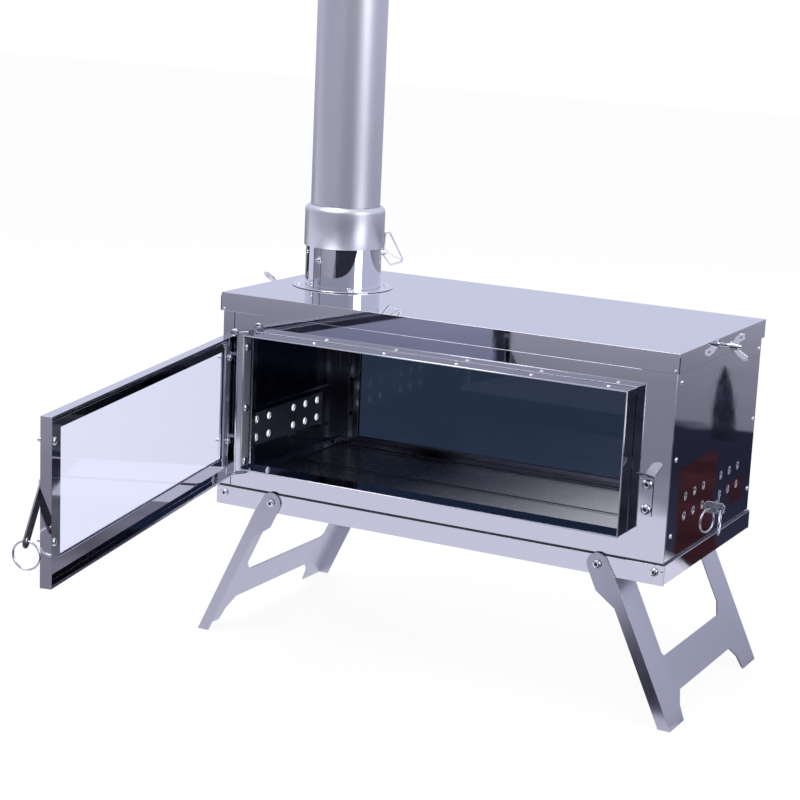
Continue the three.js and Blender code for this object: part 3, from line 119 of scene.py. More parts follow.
# Polished to satin steel. wave is the dent of thin sheet, bump the grain of its surface.
def steel(name, color, rough, grain=(1, 1, 1), wave=0.0, bump=0.0):
    m, tree, bsdf = shader(name)
    bsdf.inputs["Base Color"].default_value = (*color, 1)
    bsdf.inputs["Metallic"].default_value = 1.0
    streak = noise(tree, 90, grain, 4)
    tree.links.new(ranged(tree, streak, *rough), bsdf.inputs["Roughness"])
    last = None
    for strength, distance, pattern in (
        (wave, 0.004, (5.5, (1, 1, 1), 1.0)),
        (bump, 0.0001, (600, grain, 3)),
    ):
        if strength:
            b = tree.nodes.new("ShaderNodeBump")
            b.inputs["Strength"].default_value = strength
            b.inputs["Distance"].default_value = distance
            tree.links.new(noise(tree, *pattern), b.inputs["Height"])
            if last:
                tree.links.new(last, b.inputs["Normal"])
            last = b.outputs["Normal"]
    if last:
        tree.links.new(last, bsdf.inputs["Normal"])
    return m


def glass(name, color, ior=1.48):
    m, tree, bsdf = shader(name)
    bsdf.inputs["Base Color"].default_value = (*color, 1)
    bsdf.inputs["Transmission Weight"].default_value = 1.0
    bsdf.inputs["IOR"].default_value = ior
    tree.links.new(ranged(tree, noise(tree, 8), 0.0, 0.01), bsdf.inputs["Roughness"])
    return m


MIRROR = steel("mirror steel", (0.74, 0.74, 0.79), (0.02, 0.05), wave=0.03)
INSIDE = steel("inner steel", (0.26, 0.26, 0.30), (0.10, 0.18), wave=0.05)
SATIN = steel("satin steel", (0.78, 0.78, 0.83), (0.36, 0.42), (1, 1, 0.05), bump=0.03)
LEG = steel("leg steel", (0.55, 0.55, 0.61), (0.27, 0.30), (1, 1, 0.1))
BRIGHT = steel("bright steel", (0.84, 0.84, 0.88), (0.1, 0.18), bump=0.02)
STRIP = steel("brushed strip", (0.72, 0.72, 0.77), (0.5, 0.6), (1, 1, 0.05))
HINGE_STEEL = steel("hinge steel", (0.34, 0.34, 0.40), (0.15, 0.25))
# Painted highlight: a lighter steel for the lid's rounded front edge.
EDGE_HIGHLIGHT = steel("painted highlight steel", (0.93, 0.93, 0.96), (0.26, 0.32))
# Dark steel of the latch lever, and painted shade on the top of the latch keeper.
DARK_STEEL_AND_SHADE = steel("dark steel and painted shade", (0.16, 0.16, 0.19), (0.3, 0.45), bump=0.05)
# Painted shade: a dark steel for recesses, gaps and creases, where shade falls.
PAINTED_SHADE = steel("painted shade steel", (0.10, 0.10, 0.12), (0.4, 0.5))
DOOR_GLASS = glass("door pane", (0.80, 0.83, 1.0), 1.22)


# The floor plate, with painted reflection: dark at the left, brighter towards the right end.
def plate_painted_light():
    m, tree, bsdf = shader("plate steel with painted light")
    along_x = map_range(tree, coordinate(tree, "Object", "X"), (-0.10, 0.20))
    ramp = tree.nodes.new("ShaderNodeValToRGB")
    ramp.color_ramp.elements[0].color = (0.05, 0.05, 0.065, 1)
    ramp.color_ramp.elements[1].color = (0.85, 0.85, 0.92, 1)
    tree.links.new(along_x, ramp.inputs["Fac"])
    tree.links.new(ramp.outputs["Color"], bsdf.inputs["Base Color"])
    bsdf.inputs["Metallic"].default_value = 0.15
    tree.links.new(ranged(tree, noise(tree, 40), 0.2, 0.3), bsdf.inputs["Roughness"])
    return m


PLATE_PAINTED_LIGHT = plate_painted_light()
REAR_GLASS = glass("dark pane", (0.018, 0.03, 0.055))


# ------------------------------------------------------------------- builders


def finish_mesh(name, bm, materials, angle=35):
    mesh = bpy.data.meshes.new(name)
    bmesh.ops.recalc_face_normals(bm, faces=bm.faces)
    for f in bm.faces:
        f.smooth = True
    for e in bm.edges:
        if len(e.link_faces) == 2 and e.calc_face_angle(0) > math.radians(angle):
            e.smooth = False
    bm.to_mesh(mesh)
    bm.free()
    for m in materials:
        mesh.materials.append(m)
    obj = bpy.data.objects.new(name, mesh)
    bpy.context.scene.collection.objects.link(obj)
    return obj


# obj takes the place of CAD nodes and rides on the body of the first.
def stand_for(obj, *nodes, slot=None):
    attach(obj, BODY_OF[nodes[0]])
    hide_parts(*nodes)
    return obj


# obj is trim that the CAD part doesn't have.
def extra(obj, body):
    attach(obj, body)
    return obj


# A point at an angle in the plane of two directions.
def turned(u, v, angle):
    return u * math.cos(angle) + v * math.sin(angle)


# Distance of a point from the line through middle along direction, and its height on it.
def off_axis(point, middle, direction):
    c = point - middle
    h = c.dot(direction)
    return (c - direction * h).length, h


# Faces of a turned piece that lie within radius of its axis and above its seat take painted shade,
# the dark of the recess.
def paint_recess_shade(obj, seat, direction, radius):
    for f in obj.data.polygons:
        r, h = off_axis(f.center, seat, direction)
        if r < radius and h > 0:
            f.material_index = 1


# A CAD sheet piece again, with its folds and cut edges rounded. Faces for which inner()
# is true take the second material.
def refined(node, material, width=0.0003, inner=None, second=None, segments=2):
    bm = bmesh.new()
    bm.from_mesh(NODES[node].data)
    bmesh.ops.remove_doubles(bm, verts=bm.verts, dist=1e-6)
    bmesh.ops.dissolve_limit(
        bm, angle_limit=math.radians(1), verts=bm.verts, edges=bm.edges
    )
    bmesh.ops.recalc_face_normals(bm, faces=bm.faces)
    if inner:
        for f in bm.faces:
            if inner(f.calc_center_median(), f.normal):
                f.material_index = 1
    materials = [material, second] if second else [material]
    obj = finish_mesh(node + "_sheet", bm, materials, 30)
    bevel = obj.modifiers.new("edges", "BEVEL")
    bevel.width = width
    bevel.segments = segments
    bevel.limit_method = "ANGLE"
    bevel.angle_limit = math.radians(40)
    bevel.harden_normals = False
    bevel.use_clamp_overlap = True
    return stand_for(obj, node, slot=SLOT_OF[node])


# A lathe round +Z through origin, from (radius, height) pairs that close on themselves.
def lathe(name, points, sides, materials, origin, direction=UP, angle=35):
    bm = bmesh.new()
    turn = direction.to_track_quat("Z", "Y").to_matrix().to_4x4()
    place = Matrix.Translation(origin) @ turn
    rings = []
    for r, z in points:
        if r < 1e-7:
            rings.append([bm.verts.new(place @ Vector((0, 0, z)))])
        else:
            angles = [2 * math.pi * i / sides for i in range(sides)]
            circle = [Vector((r * math.cos(a), r * math.sin(a), z)) for a in angles]
            rings.append([bm.verts.new(place @ co) for co in circle])
    for a, b in zip(rings, rings[1:] + rings[:1]):
        if len(a) == 1 and len(b) == 1:
            continue
        for i in range(sides):
            j = (i + 1) % sides
            quad = [a[i % len(a)], a[j % len(a)], b[j % len(b)], b[i % len(b)]]
            bm.faces.new(list(dict.fromkeys(quad)))
    return finish_mesh(name, bm, materials, angle)


def vertices(node):
    return np.array([v.co for v in NODES[node].data.vertices], float)


# Centre line and ends of a turned CAD piece along a direction.
def along(node, direction):
    co = vertices(node)
    d = np.array(direction, float)
    t = co @ d
    side = co - np.outer(t, d)
    middle = (side.min(0) + side.max(0)) / 2
    radius = np.linalg.norm(side - middle, axis=1).max()
    return Vector(middle), t.min(), t.max(), radius


SHANK = 0.002


# A round button head with its recess painted dark as shade, and its shank.
def screw(node, direction):
    middle, low, high, head = along(node, direction)
    thick = head * 0.55
    seat = high - thick
    arc = []
    for i in range(7):
        a = math.radians(15 * i)
        arc.append((head * 0.55 + head * 0.45 * math.cos(a), thick * (0.25 + 0.75 * math.sin(a))))
    hole = head * 0.36
    bottom = thick - thick * 0.5
    points = [(0, low - seat), (SHANK, low - seat), (SHANK, 0), (head, 0), *arc]
    points += [(hole * 1.08, thick), (hole, thick - 0.00015), (hole, bottom), (0, bottom)]
    start = middle + direction * seat
    obj = lathe(node + "_round", points, 32, [BRIGHT, PAINTED_SHADE], start, direction, 50)
    paint_recess_shade(obj, start, direction, hole)
    return stand_for(obj, node, slot=SLOT_OF[node])


NUT_HOLE = 0.0022


# A hexagon nut with chamfered corners and a round hole.
def nut(node, direction):
    middle, low, high, across = along(node, direction)
    co = vertices(node)
    d = Vector(direction)
    side = [Vector(c) - d * Vector(c).dot(d) - middle for c in co]
    corner = max(side, key=lambda v: v.length).normalized()
    other = d.cross(corner)
    bm = bmesh.new()
    levels = [(low, 0.93), (low + 0.0004, 1.0), (high - 0.0005, 1.0), (high, 0.9)]
    rings = []
    for t, k in levels:
        hexagon = [turned(corner, other, math.pi * i / 3) * across * k for i in range(6)]
        rings.append([bm.verts.new(middle + d * t + co) for co in hexagon])
    hole = []
    for t in (high, low):
        circle = [turned(corner, other, math.pi * i / 12) * NUT_HOLE for i in range(24)]
        hole.append([bm.verts.new(middle + d * t + co) for co in circle])
    for a, b in zip(rings, rings[1:]):
        for i in range(6):
            j = (i + 1) % 6
            bm.faces.new([a[i], a[j], b[j], b[i]])
    for outer, inner in ((rings[-1], hole[0]), (rings[0], hole[1])):
        for i in range(6):
            j = (i + 1) % 6
            fan = [inner[(4 * i + k) % 24] for k in range(5)]
            bm.faces.new([outer[i], outer[j], *reversed(fan)])
    for i in range(24):
        j = (i + 1) % 24
        bm.faces.new([hole[0][i], hole[0][j], hole[1][j], hole[1][i]])
    return stand_for(finish_mesh(node + "_hex", bm, [BRIGHT], 20), node, slot=SLOT_OF[node])


RING_WIRE = 0.001


# A round wire ring in place of a faceted one.
def ring(node):
    co = vertices(node)
    centre = co.mean(0)
    _, _, axes = np.linalg.svd(co - centre)
    normal, u = Vector(axes[2]), Vector(axes[0])
    v = normal.cross(u)
    radius = np.linalg.norm(co - centre, axis=1).max() - RING_WIRE
    bm = bmesh.new()
    rows = []
    for i in range(72):
        out = turned(u, v, 2 * math.pi * i / 72)
        middle = Vector(centre) + out * radius
        circle = [turned(out, normal, 2 * math.pi * k / 12) * RING_WIRE for k in range(12)]
        rows.append([bm.verts.new(middle + co) for co in circle])
    for a, b in zip(rows, rows[1:] + rows[:1]):
        for k in range(12):
            m = (k + 1) % 12
            bm.faces.new([a[k], a[m], b[m], b[k]])
    return stand_for(finish_mesh(node + "_wire", bm, [BRIGHT]), node, slot=SLOT_OF[node])


# A round wire along points, as an extra piece.
def wire(name, points, radius, body, material, closed=False):
    curve = bpy.data.curves.new(name, "CURVE")
    curve.dimensions = "3D"
    curve.bevel_depth = radius
    curve.bevel_resolution = 4
    curve.use_fill_caps = True
    line = curve.splines.new("POLY")
    line.points.add(len(points) - 1)
    for p, co in zip(line.points, points):
        p.co = (*co, 1)
    line.use_cyclic_u = closed
    curve.materials.append(material)
    obj = bpy.data.objects.new(name, curve)
    bpy.context.scene.collection.objects.link(obj)
    return extra(obj, body)


# A domed rivet head on a face, with its centre painted dark as shade when it is a hollow rivet.
def rivet(name, place, direction, radius, body, hollow=False):
    place = Vector(place)
    direction = Vector(direction)
    points = [(0, -0.0003), (radius, -0.0003), (radius, 0.0002)]
    for i in range(1, 6):
        a = math.radians(18 * i)
        points.append((radius * math.cos(a * 0.75), 0.0002 + radius * 0.42 * math.sin(a)))
    if hollow:
        points += [(radius * 0.3, 0.0001 + radius * 0.3), (0, radius * 0.2)]
    else:
        points += [(0, 0.0002 + radius * 0.46)]
    obj = lathe(name, points, 28, [BRIGHT, PAINTED_SHADE], place, direction, 60)
    if hollow:
        paint_recess_shade(obj, place, direction, radius * 0.34)
    return extra(obj, body)


# --------------------------------------------------------------------- pieces

FIREBOX = ((-0.247, 0.247), (-0.122, 0.122), (0.02, 0.2225))
FIREBOX_MIDDLE = Vector((0, 0, 0.12))


# True on a face that looks into the firebox.
def looks_in(c, n):
    (x0, x1), (y0, y1), (z0, z1) = FIREBOX
    inside = x0 < c.x < x1 and y0 < c.y < y1 and z0 < c.z < z1
    return inside and n.dot(FIREBOX_MIDDLE - c) > 0


for name in ("front_panel", "side_panel_left", "side_panel_right", "back_panel"):
    refined(name, MIRROR, 0.0003, looks_in, INSIDE)
refined("rear_glass_frame", MIRROR, 0.0003, looks_in, INSIDE)
refined("lid", MIRROR, 0.0008, lambda c, n: n.z < -0.5 and c.z > 0.22, INSIDE, 3)
refined("floor_plate", PLATE_PAINTED_LIGHT, 0.0002)
refined("opening_rim", MIRROR, 0.0003)
for name in ("base_tray", "base_end_left", "base_end_right"):
    refined(name, MIRROR, 0.0003)
for name in ("door_frame", "door_glass_frame"):
    refined(name, MIRROR, 0.0003)
refined("hinge_leaf", HINGE_STEEL, 0.0003)
# Painted shade: the top faces of the latch keeper take dark steel for the shade they show.
refined("latch_keeper", MIRROR, 0.0002, lambda c, n: c.z > 0.1037, DARK_STEEL_AND_SHADE)
refined("latch_lever", DARK_STEEL_AND_SHADE, 0.0004)
for name in ("vent_slide_left", "vent_slide_right", "damper_disc"):
    refined(name, SATIN, 0.0002)
for name in ("leg_left", "leg_right"):
    refined(name, LEG, 0.0005)
for name in ("wing_nut_left", "wing_nut_right"):
    refined(name, BRIGHT, 0.0004)
refined("damper_handle", SATIN, 0.0002)
refined("door_glass", DOOR_GLASS, 0.0004)
refined("rear_glass", REAR_GLASS, 0.0004)

# Flue: a round flange, collar, adapter and pipe.

FLUE_SIDES = 112


def flue_lathe(node, points, material, angle=35):
    points = [(r * MM, z * MM) for r, z in points]
    obj = lathe(node + "_round", points, FLUE_SIDES, [material], FLUE, angle=angle)
    return stand_for(obj, node, slot=SLOT_OF[node])


flue_lathe(
    "flue_flange",
    [(40.3, 0.3), (53.2, 0.3), (53.5, 0.6), (53.5, 1.0), (53.2, 1.3), (41, 1.3), (40.3, 1.2)],
    BRIGHT,
)
RIVET_CIRCLE = 46.75 * MM
for i in range(4):
    a = math.radians(90 * i - 50)
    offset = Vector((RIVET_CIRCLE * math.cos(a), RIVET_CIRCLE * math.sin(a), 1.3 * MM))
    rivet(f"flange_rivet_{i + 1}", FLUE + offset, UP, 0.003, "stove_body")
flue_lathe(
    "flue_collar",
    [(39, -8), (46, -8), (46, -7), (40, -7), (40, 80.3), (39.6, 80.8), (39, 80.8)],
    MIRROR,
)
shoulder = [
    (42.2 - 6 * (1 - math.cos(math.radians(t))), 86.5 - 6 * (1 - math.sin(math.radians(t))))
    for t in range(0, 91, 9)
]
flue_lathe(
    "pipe_adapter",
    [(41.3, 43.8), (41.5, 43.5), (42, 43.5), (42.2, 43.8), *shoulder]
    + [(35.3, 86.5), (35.3, 114.5), (34.4, 114.5), (34.4, 85.6), (35.4, 85.6), (41.3, 80.5)],
    SATIN,
    angle=40,
)
flue_lathe("chimney_pipe", [(35.6, 86.8), (36.5, 86.8), (36.5, 386.8), (35.6, 386.8)], SATIN)

spindle_axis = Vector((math.sqrt(0.5), math.sqrt(0.5), 0))
middle, low, high, radius = along("damper_spindle", spindle_axis)
stand_for(
    lathe(
        "damper_spindle_round",
        [(0, low), (radius, low), (radius, high - 0.0005), (radius - 0.0005, high), (0, high)],
        24,
        [BRIGHT],
        middle,
        spindle_axis,
    ),
    "damper_spindle",
    slot="bright_steel",
)

# Fasteners.
for end, y in (("front", -1), ("back", 1)):
    for side in ("left", "right"):
        screw(f"base_screw_{end}_{side}", Vector((0, y, 0)))
        screw(f"leg_bolt_{end}_{side}", Vector((0, y, 0)))
for i in (1, 2):
    screw(f"keeper_screw_{i}", Vector((0, -1, 0)))
screw("hinge_pin_top", UP)
screw("hinge_pin_bottom", -UP)
screw("wing_bolt_left", Vector((1, 0, 0)))
screw("wing_bolt_right", Vector((-1, 0, 0)))
for high_low in ("top", "bottom"):
    for side in ("inner", "outer"):
        screw(f"door_bolt_{high_low}_{side}", -DOOR_OUT)
        nut(f"door_nut_{high_low}_{side}", DOOR_OUT)
screw("latch_pivot_screw", DOOR_OUT)
seam = math.radians(-98)
seam_out = Vector((math.cos(seam), math.sin(seam), 0))
screw("collar_bolt", -seam_out)
nut("collar_nut", seam_out)
for name in ("latch_ring", "vent_ring_left", "vent_ring_right"):
    ring(name)


# A flat strip as an extra piece, from its lowest to its highest corner.
def strip(name, low, high, material):
    bm = bmesh.new()
    bmesh.ops.create_cube(bm, size=1)
    for v in bm.verts:
        v.co = Vector([(a + b) / 2 + c * (b - a) for a, b, c in zip(low, high, v.co)])
    thin = min(b - a for a, b in zip(low, high))
    bmesh.ops.bevel(bm, geom=bm.edges[:], offset=thin * 0.3, segments=2)
    return extra(finish_mesh(name, bm, [material], 30), "stove_body")


# Where a point of the door stands at rest, given from its hinge in the shut door's frame.
def door_point(x, y, z):
    c, s = math.cos(DOOR_TURN), math.sin(DOOR_TURN)
    return Vector((HINGE.x + c * x - s * y, HINGE.y + s * x + c * y, z))


def frame_wire(name, place, xs, zs, y, radius, body):
    corners = [(xs[0], y, zs[0]), (xs[1], y, zs[0]), (xs[1], y, zs[1]), (xs[0], y, zs[1])]
    points = [place(*c) for c in corners]
    return wire(name, points, radius, body, BRIGHT, True)


def as_is(x, y, z):
    return Vector((x, y, z))


# Bright hems: round the front of the opening rim, and round both edges and the window
# of the door.
RIM_XS, RIM_ZS = (-0.2083, 0.2088), (0.0462, 0.1858)
frame_wire("rim_hem", as_is, RIM_XS, RIM_ZS, -0.1467, 0.0008, "stove_body")
DOOR_XS, DOOR_ZS = (0.005, 0.4315), (0.0415, 0.1875)
DOOR_FRONT, DOOR_REAR = -0.0043, 0.006


def shrunk(pair, by):
    return (pair[0] + by, pair[1] - by)


HEM = 0.0007
for name, y in (("rear", DOOR_REAR - HEM), ("front", DOOR_FRONT + HEM)):
    hem_xs, hem_zs = shrunk(DOOR_XS, HEM), shrunk(DOOR_ZS, HEM)
    frame_wire("door_hem_" + name, door_point, hem_xs, hem_zs, y, HEM, "door")
WINDOW_XS, WINDOW_ZS = (0.031, 0.4055), (0.0625, 0.1735)
window_y = DOOR_FRONT + 0.0011
frame_wire("door_hem_window", door_point, WINDOW_XS, WINDOW_ZS, window_y, 0.0006, "door")

# The hinge side of the rim: a satin strip inside, held by three hollow rivets.
strip(
    "hinge_strip",
    (-0.2079, -0.1460, 0.0495),
    (-0.2072, -0.1340, 0.1830),
    STRIP,
)
for i, z in enumerate((0.173, 0.110, 0.0545)):
    place = (-0.2072, -0.1402, z)
    rivet(f"hinge_rivet_{i + 1}", place, (1, 0, 0), 0.0042, "stove_body", True)
edge = [(-0.2073, -0.1300, 0.0495), (-0.2073, -0.1300, 0.1830)]
wire("hinge_strip_edge", edge, 0.0006, "stove_body", BRIGHT)


# A strip of inner steel in the corner behind the floor plate.
def corner_strip(name, low, high):
    return strip(name, low, high, INSIDE)


# A line painted dark as shade, for the gap between two panels or a crease.
def shade_line(name, low, high):
    return strip(name, low, high, PAINTED_SHADE)


# The lid's rounded front edge, lighter than the lid as a painted highlight, and the back corner
# behind the floor plate.
edge = [(-0.2482, -0.1234, 0.2214), (0.2482, -0.1234, 0.2214)]
wire("lid_front_edge", edge, 0.0016, "stove_body", EDGE_HIGHLIGHT)
corner_strip("back_corner", (-0.2460, 0.1176, 0.0224), (0.2460, 0.1196, 0.0262))
for side in (-1, 1):
    x0, x1 = sorted((side * 0.2462, side * 0.2290))
    corner_strip(f"corner_foot_{side + 1}", (x0, 0.1112, 0.0224), (x1, 0.1170, 0.0262))
# Two lines across the floor plate, painted dark as shade.
for i, y in enumerate((0.012, 0.104)):
    shade_line(f"plate_line_{i + 1}", (-0.2400, y, 0.0222), (0.2400, y + 0.0022, 0.0227))

# Seams: the gaps between panels, drawn as thin recessed lines painted dark as shade.
shade_line("front_seam_left", (-0.2351, -0.1232, 0.0212), (-0.2344, -0.1229, 0.2038))
shade_line("base_seam_front", (-0.2480, -0.1236, 0.0194), (0.2480, -0.1229, 0.0206))
for side in (-1, 1):
    x0, x1 = sorted((side * 0.2494, side * 0.2485))
    shade_line(f"base_seam_side_{side + 1}", (x0, -0.1225, 0.0194), (x1, 0.1225, 0.0208))
    x = side * 0.2501 - 0.00015
    shade_line(f"lid_slit_{side + 1}", (x - 0.0004, -0.1251, 0.2042), (x + 0.0004, -0.1243, 0.2195))
    place = (side * 0.2465, -0.1250, 0.2062)
    rivet(f"lid_spot_{side + 1}", place, (0, -1, 0), 0.0016, "stove_body")
    place = (side * 0.2475, -0.1250, 0.0145)
    rivet(f"base_spot_{side + 1}", place, (0, -1, 0), 0.0014, "stove_body")

# The collar's lap: a vertical line painted dark as shade, with a small rivet at its foot.
lap = math.radians(-102)
lap_out = Vector((math.cos(lap), math.sin(lap), 0))
foot = FLUE + lap_out * 0.04605
line = [foot + Vector((0, 0, 0.002)), foot + Vector((0, 0, 0.0432))]
wire("collar_lap", line, 0.0004, "stove_body", PAINTED_SHADE)
beside = Vector((math.cos(lap - 0.06), math.sin(lap - 0.06), 0))
place = FLUE + beside * 0.0460 + Vector((0, 0, 0.0055))
rivet("collar_rivet", place, beside, 0.0021, "stove_body")


# ---------------------------------------------------------------------- stage


def ramp_of(tree, value, stops):
    ramp = tree.nodes.new("ShaderNodeValToRGB")
    tree.links.new(value, ramp.inputs["Fac"])
    elements = ramp.color_ramp.elements
    while len(elements) > 1:
        elements.remove(elements[-1])
    for i, (at, color) in enumerate(stops):
        e = elements[0] if i == 0 else elements.new(at)
        e.position = at
        e.color = (*color, 1)
    return ramp.outputs["Color"]


def math_node(tree, operation, a, b):
    n = tree.nodes.new("ShaderNodeMath")
    n.operation = operation
    for socket, value in zip(n.inputs, (a, b)):
        if isinstance(value, (int, float)):
            socket.default_value = value
        else:
            tree.links.new(value, socket)
    return n.outputs[0]


# White where the camera sees it straight or through glass. A reflection, and what is seen
# through glass in a reflection, takes the other shader and not this white.
def white_to_camera(tree, other, white_share):
    path = tree.nodes.new("ShaderNodeLightPath")
    white = tree.nodes.new("ShaderNodeEmission")
    white.inputs["Color"].default_value = (1, 1, 1, 1)
    white.inputs["Strength"].default_value = WHITE
    straight, through = path.outputs["Is Camera Ray"], path.outputs["Is Transmission Ray"]
    shown = math_node(tree, "MAXIMUM", straight, through)
    mix = tree.nodes.new("ShaderNodeMixShader")
    direct = math_node(tree, "LESS_THAN", path.outputs["Glossy Depth"], 0.5)
    shown_direct = math_node(tree, "MULTIPLY", shown, direct)
    share = math_node(tree, "MULTIPLY", shown_direct, white_share)
    tree.links.new(share, mix.inputs["Fac"])
    tree.links.new(other, mix.inputs[1])
    tree.links.new(white.outputs["Emission"], mix.inputs[2])
    return mix.outputs["Shader"]


WHITE = 1.02
FLOOR_WHITE_SHARE = 0.90
FLOOR_SPAN = 2.8
# Painted reflections: where along Y a reflection meets the floor, and the tone that the floor
# glows with there.
PAINTED_REFLECTION_TONES = [
    (-2.8, (0.42, 0.42, 0.50)),
    (-2.1, (0.36, 0.355, 0.43)),
    (-1.7, (0.27, 0.265, 0.33)),
    (-1.1, (0.25, 0.245, 0.31)),
    (-0.92, (0.30, 0.30, 0.38)),
    (-0.84, (0.72, 0.72, 0.86)),
    (0.40, (0.78, 0.77, 0.90)),
    (0.45, (0.035, 0.037, 0.065)),
    (0.9, (0.018, 0.02, 0.04)),
    (1.17, (0.02, 0.022, 0.045)),
    (1.20, (0.20, 0.20, 0.26)),
    (1.7, (0.26, 0.255, 0.32)),
    (2.3, (0.36, 0.355, 0.43)),
]


# White to the camera, with a faint shadow. In reflections it glows with painted reflection tones
# graded along Y.
def floor_material():
    m = bpy.data.materials.new("floor")
    m.use_nodes = True
    tree = m.node_tree
    tree.nodes.clear()
    out = tree.nodes.new("ShaderNodeOutputMaterial")
    path = tree.nodes.new("ShaderNodeLightPath")
    plain = tree.nodes.new("ShaderNodeBsdfDiffuse")
    plain.inputs["Color"].default_value = (0.93, 0.93, 0.95, 1)
    centred = math_node(tree, "SUBTRACT", noise(tree, 7.0, detail=1.0), 0.5)
    wavy = math_node(tree, "MULTIPLY", centred, 0.22)
    along_y = math_node(tree, "ADD", coordinate(tree, "Object", "Y"), wavy)
    stops = [((y + FLOOR_SPAN) / (2 * FLOOR_SPAN), color) for y, color in PAINTED_REFLECTION_TONES]
    tones = ramp_of(tree, map_range(tree, along_y, (-FLOOR_SPAN, FLOOR_SPAN)), stops)
    shown = tree.nodes.new("ShaderNodeEmission")
    tree.links.new(tones, shown.inputs["Color"])
    mix = tree.nodes.new("ShaderNodeMixShader")
    reflected = math_node(tree, "GREATER_THAN", path.outputs["Glossy Depth"], 0.5)
    tree.links.new(reflected, mix.inputs["Fac"])
    tree.links.new(plain.outputs["BSDF"], mix.inputs[1])
    tree.links.new(shown.outputs["Emission"], mix.inputs[2])
    seen = white_to_camera(tree, mix.outputs["Shader"], FLOOR_WHITE_SHARE)
    tree.links.new(seen, out.inputs["Surface"])
    return m


def plane(name, corners, material):
    mesh = bpy.data.meshes.new(name)
    mesh.from_pydata(corners, [], [list(range(len(corners)))])
    mesh.materials.append(material)
    obj = bpy.data.objects.new(name, mesh)
    bpy.context.scene.collection.objects.link(obj)
    return obj


# A level face at a height, from its corners as (x, y).
def level_plane(name, corners, z, material):
    return plane(name, [(x, y, z) for x, y in corners], material)


FLOOR_Z = -0.1418
level_plane("floor", [(-9, -9), (9, -9), (9, 9), (-9, 9)], FLOOR_Z, floor_material())


# A painted reflection: a glowing dark, brown or grey card on the floor that shows in reflections
# only.
def painted_reflection_card(name, corners, color):
    m = bpy.data.materials.new(name)
    m.use_nodes = True
    tree = m.node_tree
    tree.nodes.clear()
    out = tree.nodes.new("ShaderNodeOutputMaterial")
    shown = tree.nodes.new("ShaderNodeEmission")
    low, high = [tuple(c * k for c in color) for k in (0.6, 1.4)]
    tones = ramp_of(tree, noise(tree, 9.0), [(0.3, low), (0.7, high)])
    tree.links.new(tones, shown.inputs["Color"])
    tree.links.new(shown.outputs["Emission"], out.inputs["Surface"])
    obj = level_plane(name, corners, FLOOR_Z + 0.002, m)
    obj.visible_camera = False
    obj.visible_diffuse = False
    obj.visible_shadow = False
    obj.visible_transmission = False


# Corners of a long shape from one point to another that narrows towards its end.
def leaf(x0, y0, x1, y1, width):
    long = Vector((x1 - x0, y1 - y0))
    over = Vector((-long.y, long.x)).normalized() * width / 2
    one_side, other_side = [], []
    for i in range(13):
        t = i / 12
        at = Vector((x0, y0)) + long * t
        half = over * min(1.0, 1.02 - t ** 3)
        one_side.append(tuple(at + half))
        other_side.append(tuple(at - half))
    return one_side + other_side[::-1]


painted_reflection_card("dark_leaf", leaf(0.60, 1.09, 0.81, 1.70, 0.038), (0.02, 0.02, 0.04))
painted_reflection_card(
    "brown_patch_1",
    [(0.59, 0.873), (0.59, 1.036), (0.441, 0.587), (0.405, 0.50), (0.405, 0.40), (0.441, 0.45)],
    (0.042, 0.015, 0.019),
)
painted_reflection_card(
    "brown_patch_2",
    [(0.503, 0.844), (0.503, 0.90), (0.46, 0.764), (0.46, 0.71)],
    (0.036, 0.014, 0.021),
)
# Painted reflection: a dark zone in front and to the right.
painted_reflection_card(
    "front_right_painted_dark",
    [(0.10, -3.0), (3.5, -3.0), (3.5, -0.16), (0.10, -0.16)],
    (0.03, 0.03, 0.05),
)
# Painted shadow: the shade under the stove, as its reflections show it.
painted_reflection_card(
    "under_stove_painted_shadow",
    [(-0.16, -0.10), (0.34, -0.10), (0.34, 0.40), (-0.16, 0.40)],
    (0.16, 0.155, 0.20),
)

world = bpy.data.worlds.new("studio")
bpy.context.scene.world = world
world.use_nodes = True
tree = world.node_tree
tree.nodes.clear()
out = tree.nodes.new("ShaderNodeOutputWorld")
room = tree.nodes.new("ShaderNodeBackground")
sky = [
    (0.0, (0.60, 0.61, 0.76)),
    (0.12, (0.72, 0.75, 0.93)),
    (0.35, (0.74, 0.77, 0.95)),
    (1.0, (0.95, 0.95, 1.0)),
]
sky_color = ramp_of(tree, coordinate(tree, "Generated", "Z"), sky)
tree.links.new(sky_color, room.inputs["Color"])
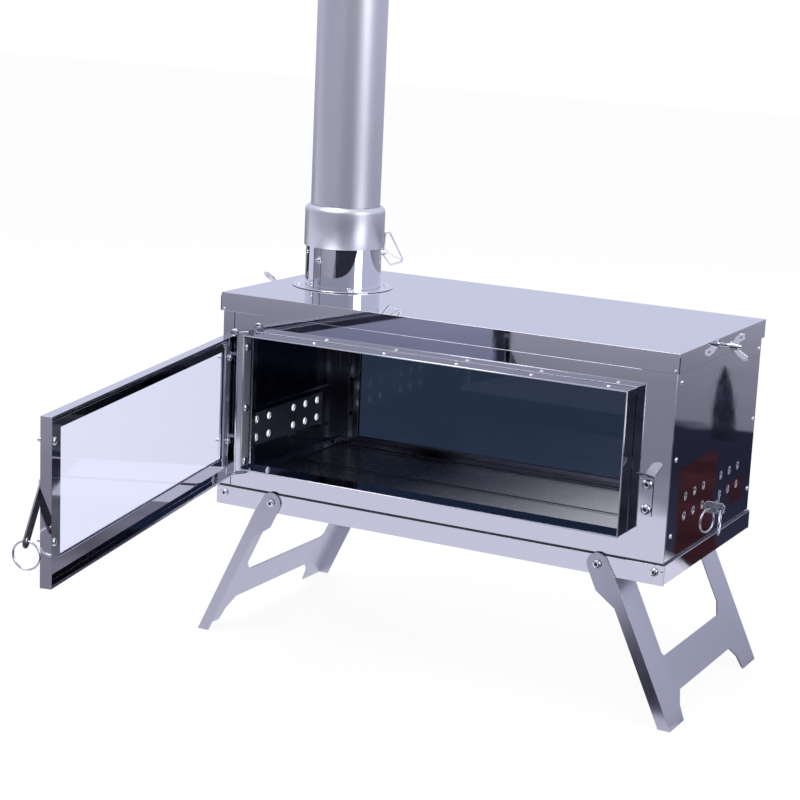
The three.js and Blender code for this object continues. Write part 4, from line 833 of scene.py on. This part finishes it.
# The room is dimmer behind the camera than behind the stove.
dim = map_range(tree, coordinate(tree, "Generated", "Y"), (-0.7, 0.1), (0.52, 0.92))
tree.links.new(dim, room.inputs["Strength"])
tree.links.new(white_to_camera(tree, room.outputs["Background"], 1.0), out.inputs["Surface"])


def area(name, place, target, size, power):
    light = bpy.data.lights.new(name, "AREA")
    light.shape = "RECTANGLE"
    light.size, light.size_y = size
    light.energy = power
    obj = bpy.data.objects.new(name, light)
    obj.location = place
    towards = Vector(target) - Vector(place)
    obj.rotation_euler = towards.to_track_quat("-Z", "Y").to_euler()
    bpy.context.scene.collection.objects.link(obj)
    return obj


area("key", (-0.6, -1.4, 2.4), (0, 0, 0.2), (1.8, 1.8), 38)
area("fill", (2.4, -0.6, 1.2), (0, 0, 0.1), (1.2, 1.6), 16)
# Its own shape would show as a white patch in the lid.
back = area("back", (-1.2, 1.8, 1.4), (0, 0, 0.3), (1.4, 1.0), 18)
back.visible_glossy = False
inside = area("inside", (0.17, 0.02, 0.19), (0.17, 0.02, 0.02), (0.12, 0.14), 0.2)
inside.visible_glossy = False

# --------------------------------------------------------------------- camera

# Fitted to the photo: angles in radians, the rest in pixels of a square picture.
YAW, PITCH, ROLL = 0.44995, -0.22559, 0.05233
PICTURE = 800
FOCAL = 2013.3
CENTRE_X, CENTRE_Y = 465.2, 431.3
CAMERA_AT = (0.8668, -1.8479, 0.5576)

flat = Vector((-math.sin(YAW), math.cos(YAW), 0))
forward = turned(flat, UP, PITCH)
level = Vector((math.cos(YAW), math.sin(YAW), 0))
over = level.cross(forward)
right = turned(level, over, ROLL)
up = turned(over, -level, ROLL)
camera_data = bpy.data.cameras.new("camera")
camera_data.sensor_width = 36
camera_data.lens = FOCAL / PICTURE * camera_data.sensor_width
camera_data.shift_x = (PICTURE / 2 - CENTRE_X) / PICTURE
camera_data.shift_y = (CENTRE_Y - PICTURE / 2) / PICTURE
camera = bpy.data.objects.new("camera", camera_data)
turn = Matrix((right, up, -forward)).transposed().to_4x4()
camera.matrix_world = Matrix.Translation(CAMERA_AT) @ turn
bpy.context.scene.collection.objects.link(camera)
bpy.context.scene.camera = camera
bpy.context.scene.view_settings.view_transform = "Standard"
